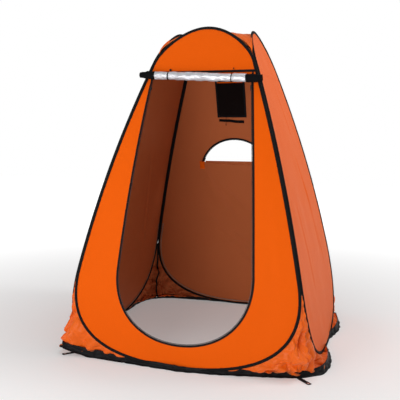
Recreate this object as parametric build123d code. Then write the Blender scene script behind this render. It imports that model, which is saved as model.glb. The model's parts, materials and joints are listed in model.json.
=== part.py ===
from build123d import *
import os
from math import atan2, cos, hypot, radians, sin, sqrt, tan

os.makedirs("parts", exist_ok=True)

# Pop-up shelter: four egg-shaped spring hoops carry four bowed fabric walls, a roof cap,
# four corner gussets and a ground skirt. Origin at the centre of the base, +Z up, door
# towards -Y, all lengths in millimetres.

# ---- driving dimensions ----
HEIGHT = 1900.0          # ground to the centre line of a hoop's top
FOOT_HALF = 726.0        # half width of the walls at the ground
TOP_HALF = 232.0         # distance of a hoop's top from the middle of the shelter
BOW = 58.7               # how far a wall bows outward over its height
HOOP_BOTTOM = 9.6        # height of a hoop's lowest centre line
SEAM_TOP = 1700.0        # neighbouring hoops run side by side between these two heights
SEAM_LOW = 500.0
SEAM_GAP = 9.0           # each hoop stays this far inside the corner line along the seam
WIRE_R = 1.5
SLEEVE_R = 6.0
SLEEVE_BORE_R = 3.4
FERRULE_R = 2.8
FERRULE_LEN = 60.0
CLOTH = 2.0              # thickness of every fabric wall
EDGE_GAP = 4.0           # clearance between a wall and its hoop sleeve

DOOR_TOP = 1610.0
DOOR_TOP_HALF = 297.0
DOOR_SIDE_Z = 500.0      # where the door's sides turn into its rounded foot
DOOR_SIDE_HALF = 388.0
DOOR_SIDE_BOW = 7.0
DOOR_FOOT_Z = 132.0
TAPE_Z = 1627.0
TAPE_W = 12.0

ROLL_Z = 1597.0
ROLL_R = 25.0
ROLL_OFFSET = 32.0       # roll centre line from the wall's middle surface
ROLL_HALF = 276.0
ROLL_END_HALF = 366.0
ROLL_END_R = 21.0
ROLL_ROUND = 4.0
ROLL_GAP = 0.4           # between the roll, its ends and its ties
TIE_X = 190.0
TIE_W = 6.0
TIE_T = 1.5
TOGGLE_R = 6.5
TOGGLE_LEN = 11.0
TOGGLE_RISE = 17.0       # above the tape
TOGGLE_OFFSET = 9.0      # in front of the wall's middle surface

WINDOW_Z = 1000.0        # height of the centre of the window's arc
WINDOW_R = 256.0
WINDOW_SILL = 1090.0
VENT_X = (-87.0, 100.0)  # seen from outside the back wall
VENT_Z = (1411.0, 1660.0)
VENT_BINDING = 12.0
WINDOW_REST = 65.0       # slider's place on the arc, degrees from its top
GARAGE_ANGLE = 76.0      # cloth stop over the end of the window's zip
FLAP_EASE = 16.0         # the window's flap is this much smaller than its arc
FLAP_RIM = 9.0
FLAP_SPAN = (5.0, 7.0)   # offsets of the flap's two faces
VENT_COVER_X = (-109.0, 122.0)     # flap outside the vent, hung from its top edge
VENT_COVER_Z = (1388.0, 1688.0)
COVER_SPAN = (2.4, 4.4)

# short cord that hangs from the vent's lower edge, as seen from outside the back wall
TIE_CORD_R = 1.25
KNOT_R = 4.0
TIE_CORD = [(43, -382, 1444), (44.5, -385.5, 1428), (43, -386.5, 1404), (45, -386, 1380),
            (43.5, -387, 1364), (44, -386.5, 1352)]

ROOF_Z = 1891.0
ROOF_CORNER_T = 0.74     # place of the roof's corners along the hoops' upper bends
ROOF_SHIFT = 8.5         # the roof's edge stands this far inside the hoops' centre lines
GUSSET_T = [0.17 + 0.088 * i for i in range(9)]     # gusset rows along the hoops' lower bends
GUSSET_EDGE = 8.6        # a gusset's edge stands this far below the hoops' centre lines
CORNER_FOOT = 757.0      # diagonal reach of the gussets at the ground

SKIRT_HALF = 738.0
SKIRT_W = 48.0
SKIRT_CORNER_R = 200.0
SKIRT_T = 2.5
MITRE_GAP = 0.6          # the skirt strips stop this far short of each corner line
TAB_LEN = 46.0
TAB_W = 25.0
PEG_R = 5.0
EYELET_WALL = 2.0
EYELET_R = 9.0
EYELET_T = 3.4
RIM_T = 0.7

LIFT = 0.3               # what is sewn onto a wall lies this far off its face
TAPE_T = 0.8             # woven tape
ZIP_IN = 2.0             # zip tape reaches this far into the doorway
ZIP_OUT = 10.0           # and this far over the wall
CHAIN_W = 4.0            # one half of a zip's teeth
TAPE_SPAN = (CLOTH / 2 + LIFT, CLOTH / 2 + LIFT + TAPE_T)   # offsets of a tape's two faces
CHAIN_GAP = 0.4          # between the teeth and the tape
CHAIN_SPAN = (0.2, 3.2)  # offsets of the teeth's two faces
ZIP_REST_Z = 1540.0      # where the door's sliders stand, and the lowest they slide to
SLIDE_LOW_Z = 560.0
PIN_AT = (-0.6, 0.4, 4.8)    # puller's cross pin in the slider's frame

# ---- shape of the walls ----
CHORD = hypot(FOOT_HALF - TOP_HALF, HEIGHT)
SECTOR_LOW = -60.0       # a wall's slab runs a little past both its ends before it is cut
SECTOR_HIGH = 1960.0
SECTOR_HALF = 900.0
WALL_R = (CHORD ** 2 / 4 + BOW ** 2) / (2 * BOW)
AXIS_OUT = (FOOT_HALF + TOP_HALF) / 2 + HEIGHT / CHORD * (BOW - WALL_R)
AXIS_Z = HEIGHT / 2 + (FOOT_HALF - TOP_HALF) / CHORD * (BOW - WALL_R)


def wall(z, offset=0.0):
    """Distance from the shelter's axis to a wall's middle surface at height z."""
    return AXIS_OUT + sqrt((WALL_R + offset) ** 2 - (z - AXIS_Z) ** 2)


def wall_normal(z):
    """Outward (horizontal, vertical) unit normal of a wall at height z."""
    reach = wall(z) - AXIS_OUT
    return reach / WALL_R, (z - AXIS_Z) / WALL_R


def front_point(x, z, offset=0.0):
    """Point of the front wall at (x, z), moved outward by offset along the normal."""
    out, up = wall_normal(z)
    return Vector(x, -(wall(z) + offset * out), z + offset * up)


def bezier(p0, p1, p2, p3, t):
    """Point of a plane cubic curve."""
    s = 1 - t
    return tuple(s ** 3 * a + 3 * s * s * t * b + 3 * s * t * t * c + t ** 3 * d
                 for a, b, c, d in zip(p0, p1, p2, p3))


def seam_half(z):
    return wall(z) - SEAM_GAP


def seam_direction(z):
    """Unit (x, z) direction of the hoop along the seam, pointing down."""
    slope = (seam_half(z - 1) - seam_half(z + 1)) / 2
    length = hypot(slope, 1)
    return slope / length, -1 / length


def hoop_top(t):
    """Upper bend of a hoop: t = 0 at the apex, 1 where the seam starts."""
    dx, dz = seam_direction(SEAM_TOP)
    foot = (seam_half(SEAM_TOP), SEAM_TOP)
    return bezier((0, HEIGHT), (150, HEIGHT), (foot[0] - 60 * dx, foot[1] - 60 * dz), foot, t)


def hoop_foot(t):
    """Lower bend of a hoop: t = 0 where the seam ends, 1 at the middle of the foot."""
    dx, dz = seam_direction(SEAM_LOW)
    start = (seam_half(SEAM_LOW), SEAM_LOW)
    return bezier(start, (start[0] + 325 * dx, start[1] + 325 * dz), (495, HOOP_BOTTOM),
                  (0, HOOP_BOTTOM), t)


def hoop_half(tops, seams, feet):
    """Right half of a hoop outline from the apex down, without the two middle points."""
    points = [hoop_top(t) for t in tops]
    points += [(seam_half(z), z) for z in seams]
    return points + [hoop_foot(t) for t in feet]


def shifted(points, inset):
    """Open outline moved to its right-hand side (inward on a half listed from the top)."""
    result = []
    last = len(points) - 1
    for i, (x, z) in enumerate(points):
        ax, az = points[max(i - 1, 0)]
        bx, bz = points[min(i + 1, last)]
        length = hypot(bx - ax, bz - az)
        result.append((x + inset * (bz - az) / length, z - inset * (bx - ax) / length))
    return result


HALF = hoop_half([i / 8 for i in range(9)], [1500, 1300, 1100, 900, 700],
                 [i / 10 for i in range(11)])


def egg(inset):
    """Closed (x, z) outline of a hoop, moved inward by inset."""
    half = shifted(HALF, inset)
    half[0] = (0, HEIGHT - inset)
    half[-1] = (0, HOOP_BOTTOM + inset)
    return half + [(-x, z) for x, z in half[-2:0:-1]]


# ---- solid helpers ----
def shell(inner, outer):
    """Full-width slab of the front wall between two offsets from its middle surface."""
    out = [Vector(0, -wall(z, outer), z) for z in (SECTOR_LOW, HEIGHT / 2, SECTOR_HIGH)]
    inn = [Vector(0, -wall(z, inner), z) for z in (SECTOR_HIGH, HEIGHT / 2, SECTOR_LOW)]
    edges = [ThreePointArc(*out), Line(out[-1], inn[0]), ThreePointArc(*inn),
             Line(inn[-1], out[0])]
    section = Face(Wire(edges))
    return extrude(section, amount=SECTOR_HALF, dir=(1, 0, 0), both=True)


def upright(points):
    """Face in the XZ plane bounded by a smooth closed line through (x, z) points."""
    return Face(Wire([Spline(*[(x, 0, z) for x, z in points], periodic=True)]))


def polygon(points):
    corners = [(x, 0, z) for x, z in points]
    return Face(Wire(Polyline(*corners, close=True).edges()))


def prism(outline):
    """Everything in front of an upright face."""
    return extrude(outline, amount=SECTOR_HALF, dir=(0, -1, 0))


def layer(outline, inner, outer, holes=()):
    """Piece of front wall inside an upright outline, between two offsets."""
    block = prism(outline)
    for hole in holes:
        block -= prism(hole)
    return block & shell(inner, outer)


SIDES = {"front": 0, "right": 90, "back": 180, "left": 270}


def turned(shape, side):
    return shape.rotate(Axis.Z, SIDES[side])


def arc_radii(points):
    """Bend radius at each inner point: 0.45 of the shorter run over tan(half the turn)."""
    radii = []
    for before, here, after in zip(points, points[1:], points[2:]):
        run_in = here - before
        run_out = after - here
        half_turn = radians(run_in.get_angle(run_out)) / 2
        radii.append(0.45 * min(run_in.length, run_out.length) / tan(half_turn))
    return radii


def tube(points, radius):
    """Rod along straight runs joined by tangent arcs."""
    path = FilletPolyline(*points, radius=arc_radii(points))
    start = Plane(origin=points[0], z_dir=points[1] - points[0])
    return sweep(start * Circle(radius), path=path)


def sheet(rows, thickness):
    """Curved sheet through rows of points, thickened to both sides of its surface."""
    surface = Face.make_surface_from_array_of_points(rows, tol=0.5, min_deg=3, max_deg=5)
    return Solid.thicken(surface, thickness)


PARTS = {}


def add(name, shape):
    PARTS[name] = shape


# ---- hoops: wire, sleeve and the ferrule that joins the wire's ends ----
def hoop_path(gap):
    """Points of one front hoop, open by gap at the middle of its foot."""
    half = hoop_half([i / 6 for i in range(1, 7)], [1500, 1300, 1100, 900, 700],
                     [0, 0.12, 0.24, 0.36, 0.48, 0.6, 0.72, 0.84])
    right = [(gap / 2, HOOP_BOTTOM), (FERRULE_LEN + 12, HOOP_BOTTOM)] + half[::-1]
    loop = right + [(0, HEIGHT)] + [(-x, z) for x, z in right[::-1]]
    return [front_point(x, z) for x, z in loop]


def make_hoops():
    wire = tube(hoop_path(4), WIRE_R)
    sleeve = tube(hoop_path(2), SLEEVE_R) - tube(hoop_path(1.9), SLEEVE_BORE_R)
    middle = front_point(0, HOOP_BOTTOM)
    bore = Cylinder(WIRE_R + 0.1, FERRULE_LEN + 2)
    ferrule = Plane(origin=middle, z_dir=(1, 0, 0)) * (Cylinder(FERRULE_R, FERRULE_LEN) - bore)
    for side in SIDES:
        add(f"hoop_wire_{side}", turned(wire, side))
        add(f"hoop_sleeve_{side}", turned(sleeve, side))
    add("hoop_ferrules", Compound([turned(ferrule, side) for side in SIDES]))


# ---- walls ----
def door_half(grow):
    """Right half of the doorway from the top down, moved outward by grow."""
    bottom, top = DOOR_SIDE_Z, DOOR_TOP
    side = []
    for i in range(7):
        s = i / 6
        x = DOOR_TOP_HALF + (DOOR_SIDE_HALF - DOOR_TOP_HALF) * s + DOOR_SIDE_BOW * 4 * s * (1 - s)
        side.append((x, top + (bottom - top) * s))
    foot = [bezier((DOOR_SIDE_HALF, bottom), (DOOR_SIDE_HALF + 3, bottom - 235),
                   (220, DOOR_FOOT_Z), (0, DOOR_FOOT_Z), i / 8) for i in range(1, 9)]
    half = shifted(side + foot, -grow)
    half[0] = (half[0][0], DOOR_TOP)
    half[-1] = (0, DOOR_FOOT_Z - grow)
    return half


def door_outline(grow, top):
    """Face of the doorway: smooth sides and foot, closed by a straight line at top."""
    half = door_half(grow)
    half[0] = (half[0][0], top)
    points = half + [(-x, z) for x, z in half[-2::-1]]
    curve = Spline(*[(x, 0, z) for x, z in points])
    return Face(Wire([curve, Line(curve @ 1, curve @ 0)]))


def front_normal(z):
    out, up = wall_normal(z)
    return Vector(0, -out, up)


def window_plane():
    """Plane that touches the wall's middle surface at the middle of the window."""
    z = (WINDOW_SILL + WINDOW_Z + WINDOW_R) / 2
    return Plane(origin=front_point(0, z), x_dir=(1, 0, 0), z_dir=front_normal(z))


WINDOW_PLANE = window_plane()
SILL_LEAN = atan2(wall_normal(WINDOW_SILL)[1], wall_normal(WINDOW_SILL)[0])
SILL_Y = (WINDOW_SILL - WINDOW_PLANE.origin.Z) / cos(SILL_LEAN)
ARC_Y = SILL_Y - (WINDOW_SILL - WINDOW_Z)


def half_moon(radius, sill_y, centre_y):
    """Sketch of a circle's cap above sill_y on the window plane."""
    half = sqrt(radius ** 2 - (sill_y - centre_y) ** 2)
    arc = ThreePointArc((half, sill_y), (0, centre_y + radius), (-half, sill_y))
    return WINDOW_PLANE * Face(Wire([arc, Line((-half, sill_y), (half, sill_y))]))


def window_prism(sketch):
    return extrude(sketch, amount=60, dir=WINDOW_PLANE.z_dir, both=True)


def vent_face(grow):
    """Upright rectangle of the vent, moved outward by grow."""
    left, right = VENT_X[0] - grow, VENT_X[1] + grow
    low, high = VENT_Z[0] - grow, VENT_Z[1] + grow
    return polygon([(left, low), (right, low), (right, high), (left, high)])


def make_walls():
    edge = upright(egg(SLEEVE_R + EDGE_GAP))
    plain = layer(edge, -CLOTH / 2, CLOTH / 2)
    add("front_panel", layer(edge, -CLOTH / 2, CLOTH / 2, [door_outline(0, DOOR_TOP)]))
    add("right_panel", turned(plain, "right"))
    add("left_panel", turned(plain, "left"))
    back = layer(edge, -CLOTH / 2, CLOTH / 2, [vent_face(0)])
    back -= window_prism(half_moon(WINDOW_R, SILL_Y, ARC_Y))
    add("back_panel", turned(back, "back"))


# ---- roof cap: four-pointed cloth between the hoops' upper bends ----
def roof_edge(s):
    """Edge point of the roof beside the front hoop, s from -1 to 1 across it."""
    x, z = hoop_top(abs(s) * ROOF_CORNER_T)
    to_corner = (wall(z) - x) / 2
    shift = ROOF_SHIFT * (1 - abs(s)) + to_corner * abs(s)
    return Vector((x + to_corner * abs(s)) * (1 if s >= 0 else -1), -wall(z) + shift, z)


def make_roof():
    steps = [i / 4 - 1 for i in range(9)]
    corner = roof_edge(1)
    drop = (ROOF_Z - corner.Z) / (corner.X * -corner.Y) ** 1.6
    rows = []
    for v in steps:
        row = []
        for u in steps:
            x = roof_edge(u).X + u * (-roof_edge(v).Y - corner.X)
            y = roof_edge(v).X + v * (-roof_edge(u).Y - corner.X)
            row.append(Vector(x, y, ROOF_Z - drop * (abs(x * y)) ** 1.6))
        rows.append(row)
    add("roof_panel", sheet(rows, CLOTH / 2))


# ---- corner gussets and the tape down each corner ----
def gusset_control(t):
    """Diagonal position of a gusset row's control points."""
    x, z = hoop_foot(t)
    share = (t - GUSSET_T[0]) / (GUSSET_T[-1] - GUSSET_T[0])
    return (wall(z) + x) / 2 + 6 + share * (CORNER_FOOT - (wall(z) + x) / 2 - 6)


def gusset_row(t, count):
    """Row of points from the front hoop to the right hoop round the front right corner."""
    here = hoop_foot(t)
    ahead = hoop_foot(min(t + 0.01, 1))
    length = hypot(ahead[0] - here[0], ahead[1] - here[1])
    x = here[0] - GUSSET_EDGE * (ahead[1] - here[1]) / length
    z = max(here[1] + GUSSET_EDGE * (ahead[0] - here[0]) / length, SKIRT_T + 2.5)
    y = -wall(z)
    c = gusset_control(t)
    a, b = (x, y), (-y, -x)
    row = []
    for i in range(count):
        px, py = bezier(a, (c, -c), (c, -c), b, i / (count - 1))
        row.append(Vector(px, py, z))
    return row


CORNERS = {"front_right": 0, "back_right": 90, "back_left": 180, "front_left": 270}


def make_gussets():
    rows = [gusset_row(t, 9) for t in GUSSET_T]
    cloth = sheet(rows, CLOTH / 2)
    behind = Vector(-1, 1, 0).normalized() * (CLOTH + 1.2)
    across = Vector(1, 1, 0).normalized() * TAPE_W / 2
    left = Spline(*[row[4] + behind - across for row in rows])
    right = Spline(*[row[4] + behind + across for row in rows])
    tape = Solid.thicken(Face.make_surface_from_curves(left, right), TAPE_T - 0.2)
    for corner, angle in CORNERS.items():
        add(f"gusset_{corner}", cloth.rotate(Axis.Z, angle))
        add(f"corner_tape_{corner}", tape.rotate(Axis.Z, angle))


# ---- ground skirt, peg tabs and eyelets ----
def make_skirt():
    outer = RectangleRounded(2 * SKIRT_HALF, 2 * SKIRT_HALF, SKIRT_CORNER_R)
    inner = RectangleRounded(2 * (SKIRT_HALF - SKIRT_W), 2 * (SKIRT_HALF - SKIRT_W),
                             SKIRT_CORNER_R - SKIRT_W)
    ring = extrude(outer - inner, SKIRT_T)
    reach = SKIRT_HALF + SKIRT_W
    foot = -reach - MITRE_GAP
    wedge = Polyline((0, -MITRE_GAP), (-reach, foot), (reach, foot), close=True)
    strip = ring & extrude(Face(Wire(wedge.edges())), SKIRT_T)
    for side in SIDES:
        add(f"skirt_{side}", turned(strip, side))


def make_pegs():
    corner = (SKIRT_HALF - SKIRT_CORNER_R + SKIRT_CORNER_R / sqrt(2)) * sqrt(2)
    middle = corner + TAB_LEN / 2 + 1
    tab = Pos(middle, 0, SKIRT_T / 2) * Box(TAB_LEN, TAB_W, SKIRT_T)
    tab = fillet(tab.edges().filter_by(Axis.Z).sort_by(Axis.X)[-2:], TAB_W / 3)
    reach = corner + TAB_LEN * 0.62
    eye = Pos(reach, 0, 0)
    tab -= eye * Cylinder(PEG_R + EYELET_WALL + 0.2, 20)
    barrel = Pos(0, 0, EYELET_T / 2) * Cylinder(PEG_R + EYELET_WALL, EYELET_T)
    rim = Pos(0, 0, EYELET_T - RIM_T / 2) * Cylinder(EYELET_R, RIM_T)
    ring = eye * (barrel + rim - Cylinder(PEG_R, 20))
    eyelets = []
    for name, angle in CORNERS.items():
        add(f"peg_tab_{name}", tab.rotate(Axis.Z, angle - 45))
        eyelets.append(ring.rotate(Axis.Z, angle - 45))
    add("peg_eyelets", Compound(eyelets))
    print("peg eyelet centres at +-", round(reach / sqrt(2), 3))


# ---- door: top tape, zip, roll and ties ----
def band(grow_out, grow_in, inner, outer, top):
    """U-shaped strip that follows the doorway's sides and foot."""
    return layer(door_outline(grow_out, top), inner, outer, [door_outline(grow_in, top + 1)])


def door_side(z, grow=0.0):
    """Half width of the doorway at a height on its straight-sided part, moved out by grow."""
    s = (DOOR_TOP - z) / (DOOR_TOP - DOOR_SIDE_Z)
    lean = (DOOR_SIDE_HALF - DOOR_TOP_HALF + DOOR_SIDE_BOW * 4 * (1 - 2 * s)) / (
        DOOR_TOP - DOOR_SIDE_Z)
    x = DOOR_TOP_HALF + (DOOR_SIDE_HALF - DOOR_TOP_HALF) * s + DOOR_SIDE_BOW * 4 * s * (1 - s)
    return x + grow * sqrt(1 + lean * lean)


def chain_point(z, sign):
    """Middle of the zip's teeth at height z on the right (+1) or left (-1) side."""
    inset = ZIP_IN + CHAIN_GAP + CHAIN_W / 2
    return front_point(sign * door_side(z, -inset), z, sum(CHAIN_SPAN) / 2)


def circle_through(a, b, c):
    """Centre and unit normal of the circle through three points."""
    ab, ac = b - a, c - a
    n = ab.cross(ac)
    centre = a + (n.cross(ab) * ac.dot(ac) + ac.cross(n) * ab.dot(ab)) / (2 * n.dot(n))
    return centre, n.normalized()


def slider(frame):
    """Zip slider round one half of an open zip. Frame: +X into the opening, +Z outward."""
    body = Pos(-0.6, 0, 3.2) * Box(9.8, 15, 1.4)
    body += Pos(0.55, 0, -3.0) * Box(7.5, 13, 1.2)
    body += Pos(3.8, 0, 0.15) * Box(1.0, 12, 7.5)
    for y in (-3.4, 4.2):
        body += Pos(PIN_AT[0], y, 4.6) * Box(3.2, 2.4, 2.6)
    body += Pos(PIN_AT[0], PIN_AT[1], 6.3) * Box(3.2, 10.0, 1.2)
    return frame * body


def pull(frame):
    """Zip puller: a cross pin under the slider's bridge, two arms and a hanging tab."""
    rod = Pos(PIN_AT) * Rot(0, 90, 0)
    body = rod * Cylinder(0.55, 8.4)
    arms = rod * Cylinder(0.7, 8.4) + Pos(PIN_AT[0], PIN_AT[1], 6.9) * Box(8.4, 1.4, 4.2)
    body += arms - Pos(PIN_AT[0], PIN_AT[1], 6.6) * Box(5.2, 5, 8)
    slot = Pos(0, 2.0, 0) * Box(5.2, 12.0, 3)
    body += Pos(PIN_AT[0], -5.0, 8.4) * (Box(8.4, 12.2, 1.2) - slot)
    body += Pos(PIN_AT[0], -19.6, 8.4) * Box(6.5, 17.2, 1.6)
    body -= Pos(PIN_AT[0], -24.0, 8.4) * Cylinder(1.5, 4)
    return frame * body


def make_door():
    low, high = TAPE_Z - TAPE_W / 2, TAPE_Z + TAPE_W / 2
    strip = polygon([(-TOP_HALF * 2, low), (TOP_HALF * 2, low), (TOP_HALF * 2, high),
                     (-TOP_HALF * 2, high)])
    across = layer(strip, TAPE_SPAN[0], TAPE_SPAN[1] + 0.2)
    add("door_top_tape", across & prism(upright(egg(SLEEVE_R + EDGE_GAP))))
    add("door_zip_tape", band(ZIP_OUT, -ZIP_IN, *TAPE_SPAN, low - 2))
    inner = -(ZIP_IN + CHAIN_GAP)
    add("door_zip_chain", band(inner, inner - CHAIN_W, *CHAIN_SPAN, DOOR_TOP - 1))
    here = chain_point(ZIP_REST_Z, -1)
    along = (chain_point(ZIP_REST_Z + 5, -1) - chain_point(ZIP_REST_Z - 5, -1)).normalized()
    normal = front_normal(ZIP_REST_Z)
    frame = Location(Plane(origin=here, x_dir=along.cross(normal), z_dir=normal))
    body = slider(frame)
    tab = pull(frame)
    add("door_zip_slider_left", body)
    add("door_zip_pull_left", tab)
    add("door_zip_slider_right", mirror(body, about=Plane.YZ))
    add("door_zip_pull_right", mirror(tab, about=Plane.YZ))
    low = chain_point(SLIDE_LOW_Z, -1)
    mid = chain_point((SLIDE_LOW_Z + ZIP_REST_Z) / 2, -1)
    centre, axis = circle_through(here, mid, low)
    print("door zip left: centre", centre, "axis", axis, "deg",
          (here - centre).get_angle(low - centre))
    print("door pull left: at", (frame * Pos(PIN_AT)).position, "axis", along.cross(normal))


def make_roll():
    centre = front_point(0, ROLL_Z, ROLL_OFFSET)
    lie = Location(Plane(origin=centre, z_dir=(1, 0, 0)))
    body = lie * Cylinder(ROLL_R, 2 * ROLL_HALF)
    add("door_roll", fillet(body.edges(), ROLL_ROUND))
    end_len = ROLL_END_HALF - ROLL_HALF - ROLL_GAP
    loop = Cylinder(ROLL_R + ROLL_GAP + TIE_T, TIE_W) - Cylinder(ROLL_R + ROLL_GAP, TIE_W + 2)
    bead = fillet(Cylinder(TOGGLE_R, TOGGLE_LEN).edges(), 2.5)
    for name, sign in (("left", -1), ("right", 1)):
        middle = sign * (ROLL_HALF + ROLL_GAP + end_len / 2)
        cap = lie * Pos(0, 0, middle) * Cylinder(ROLL_END_R, end_len)
        add(f"door_roll_end_{name}", fillet(cap.edges(), ROLL_ROUND))
        add(f"door_tie_{name}", lie * Pos(0, 0, sign * TIE_X) * loop)
        knob = front_point(sign * TIE_X, TAPE_Z + TOGGLE_RISE, TOGGLE_OFFSET)
        add(f"door_toggle_{name}", Plane(origin=knob, z_dir=front_normal(ROLL_Z)) * bead)
        print(f"door_toggle_{name}: at", knob)


# ---- back wall: window and vent ----
def window_flap_outline():
    """Open half-moon that hangs below the sill, the mirror image of the window's cap."""
    low_centre = 2 * SILL_Y - ARC_Y
    top = SILL_Y - 3
    radius = WINDOW_R - FLAP_EASE
    half = sqrt(radius ** 2 - (low_centre - top) ** 2)
    arc = ThreePointArc((half, top), (0, low_centre - radius), (-half, top))
    moon = WINDOW_PLANE * Face(Wire([arc, Line((-half, top), (half, top))]))
    middle = Location(WINDOW_PLANE) * Pos(0, low_centre, 0) * Circle(radius - FLAP_RIM)
    return moon, middle


def make_window():
    wall_cut = window_prism(half_moon(WINDOW_R + ZIP_OUT, SILL_Y, ARC_Y))
    core = window_prism(half_moon(WINDOW_R - ZIP_IN, SILL_Y - 40, ARC_Y))
    add("window_zip_tape", turned((wall_cut - core) & shell(*TAPE_SPAN), "back"))
    edge = WINDOW_R - ZIP_IN - CHAIN_GAP
    outer = window_prism(half_moon(edge, SILL_Y, ARC_Y))
    inner = window_prism(half_moon(edge - CHAIN_W, SILL_Y - 40, ARC_Y))
    add("window_zip_chain", turned((outer - inner) & shell(*CHAIN_SPAN), "back"))

    moon, middle = window_flap_outline()
    add("window_flap", turned(window_prism(moon) & shell(*FLAP_SPAN), "back"))
    rim = (window_prism(moon) - window_prism(middle)) & shell(FLAP_SPAN[1] + 0.2,
                                                              FLAP_SPAN[1] + 1.4)
    add("window_flap_edge", turned(rim, "back"))
    hinge = WINDOW_PLANE.from_local_coords((0, SILL_Y, sum(FLAP_SPAN) / 2))
    print("window flap hinge, front frame:", hinge)

    rest = radians(WINDOW_REST)
    radial = Vector(-sin(rest), cos(rest), 0)
    centre = Vector(0, ARC_Y, 0)
    track = centre + radial * (edge - CHAIN_W / 2) + Vector(0, 0, 1.5)
    seat = Plane(origin=track, x_dir=radial * -1, z_dir=(0, 0, 1))
    frame = Location(WINDOW_PLANE) * Location(seat)
    body = mirror(slider(frame), about=Plane.YZ)
    tab = mirror(pull(frame), about=Plane.YZ)
    add("window_zip_slider", turned(body, "back"))
    add("window_zip_pull", turned(tab, "back"))
    print("window zip arc centre, front frame:", WINDOW_PLANE.from_local_coords(centre),
          "axis", WINDOW_PLANE.z_dir)
    print("window pull, front frame before mirroring:", (frame * Pos(PIN_AT)).position,
          "axis", (frame * Pos(1, 0, 0)).position - frame.position)
    spot = Pos(0, ARC_Y, 0) * Rot(0, 0, -GARAGE_ANGLE) * Pos(0, WINDOW_R + 2, 0)
    patch = Location(WINDOW_PLANE) * spot * Rectangle(50, 30)
    add("window_zip_garage", turned(window_prism(patch) & shell(-2.6, -1.3), "back"))


def make_vent():
    mesh = layer(vent_face(-1), -0.5, 0.5)
    add("vent_mesh", turned(mesh, "back"))
    frame = layer(vent_face(VENT_BINDING), -TAPE_SPAN[1], -TAPE_SPAN[0], [vent_face(-2)])
    add("vent_binding", turned(frame, "back"))
    left, right = VENT_COVER_X
    low, high = VENT_COVER_Z
    cover = polygon([(left, low), (right, low), (right, high), (left, high)])
    add("vent_cover", turned(layer(cover, *COVER_SPAN), "back"))
    print("vent cover hinge, front frame:", front_point(0, high, sum(COVER_SPAN) / 2))
    strip = polygon([(-77, 1361), (99, 1374), (98, 1392), (-78, 1379)])
    add("vent_strip", turned(layer(strip, -4.2, -1.3), "back"))
    cord = [Vector(x, y, z) for x, y, z in TIE_CORD]
    add("vent_cord", turned(tube(cord, TIE_CORD_R), "back"))
    bead = Pos(cord[-1] - Vector(0, 0, KNOT_R + 0.2)) * Sphere(KNOT_R)
    add("vent_cord_knot", turned(bead, "back"))


make_hoops()
make_walls()
make_roof()
make_gussets()
make_skirt()
make_pegs()
make_door()
make_roll()
make_window()
make_vent()

for node, shape in PARTS.items():
    shape.label = node
    export_step(shape, f"parts/{node}.step")
print(len(PARTS), "nodes written")
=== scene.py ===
import json
import math

import bpy
import numpy as np
from mathutils import Matrix, Vector, geometry


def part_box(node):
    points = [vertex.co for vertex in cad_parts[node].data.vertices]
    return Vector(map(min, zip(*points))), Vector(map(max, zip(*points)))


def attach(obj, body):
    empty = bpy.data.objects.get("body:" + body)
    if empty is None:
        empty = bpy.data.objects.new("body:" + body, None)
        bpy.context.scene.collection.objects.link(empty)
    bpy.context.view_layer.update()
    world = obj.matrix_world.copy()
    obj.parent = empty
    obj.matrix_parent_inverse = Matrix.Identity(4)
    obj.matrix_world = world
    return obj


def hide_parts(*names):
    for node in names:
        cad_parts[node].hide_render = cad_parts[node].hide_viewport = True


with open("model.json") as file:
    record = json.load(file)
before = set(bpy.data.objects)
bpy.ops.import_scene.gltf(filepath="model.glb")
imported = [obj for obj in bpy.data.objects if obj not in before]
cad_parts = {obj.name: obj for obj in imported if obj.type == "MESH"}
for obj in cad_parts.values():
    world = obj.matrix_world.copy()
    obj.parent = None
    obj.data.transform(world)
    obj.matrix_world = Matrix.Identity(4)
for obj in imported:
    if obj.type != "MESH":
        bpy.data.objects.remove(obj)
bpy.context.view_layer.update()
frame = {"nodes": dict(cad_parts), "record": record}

# Pop-up shelter in metres, in the CAD frame: the door faces -Y, +Z is up.
# ---------------------------------------------------------------- driving dimensions
HEIGHT = 1.9             # ground to the centre line of a hoop's top
FOOT_HALF = 0.726        # half width of the walls at the ground
TOP_HALF = 0.232         # distance of a hoop's top from the middle
BOW = 0.0587             # how far a wall bows outward
HOOP_BOTTOM = 0.0096
SEAM_TOP, SEAM_LOW, SEAM_GAP = 1.7, 0.5, 0.009
SLEEVE_R = 0.0062
CLOTH_T = 0.0012         # thickness of the shown cloth
GRID = 0.013             # spacing of the walls' mesh
DOOR_TOP, DOOR_TOP_HALF = 1.61, 0.297
DOOR_SIDE_Z, DOOR_SIDE_HALF, DOOR_SIDE_BOW = 0.5, 0.388, 0.007
DOOR_FOOT_Z = 0.132
TAPE_Z, TAPE_W = 1.6325, 0.014
ROLL_Z, ROLL_OFFSET = 1.597, 0.032
ROLL_HALF, ROLL_END_HALF = 0.276, 0.366
TIE_X = 0.19
EYELET = 0.6996          # each peg eyelet's distance from both middle planes
SIDES = {"front": 0, "right": 1, "back": 2, "left": 3}
CORNERS = {"front_right": 0, "back_right": 1, "back_left": 2, "front_left": 3}
SHELTER = "shelter"

CHORD = math.hypot(FOOT_HALF - TOP_HALF, HEIGHT)
WALL_R = (CHORD ** 2 / 4 + BOW ** 2) / (2 * BOW)
AXIS_OUT = (FOOT_HALF + TOP_HALF) / 2 + HEIGHT / CHORD * (BOW - WALL_R)
AXIS_Z = HEIGHT / 2 + (FOOT_HALF - TOP_HALF) / CHORD * (BOW - WALL_R)


# ---------------------------------------------------------------- shape helpers
def wall(z):
    """Distance from the middle of the shelter to a wall's middle surface at height z."""
    return AXIS_OUT + np.sqrt(WALL_R ** 2 - (np.asarray(z, float) - AXIS_Z) ** 2)


def turned(points, quarter):
    """Points turned about +Z by a number of quarter turns."""
    out = np.array(points, float)
    for _ in range(quarter):
        out[:, [0, 1]] = np.stack([-out[:, 1], out[:, 0]], axis=1)
    return out


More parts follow.
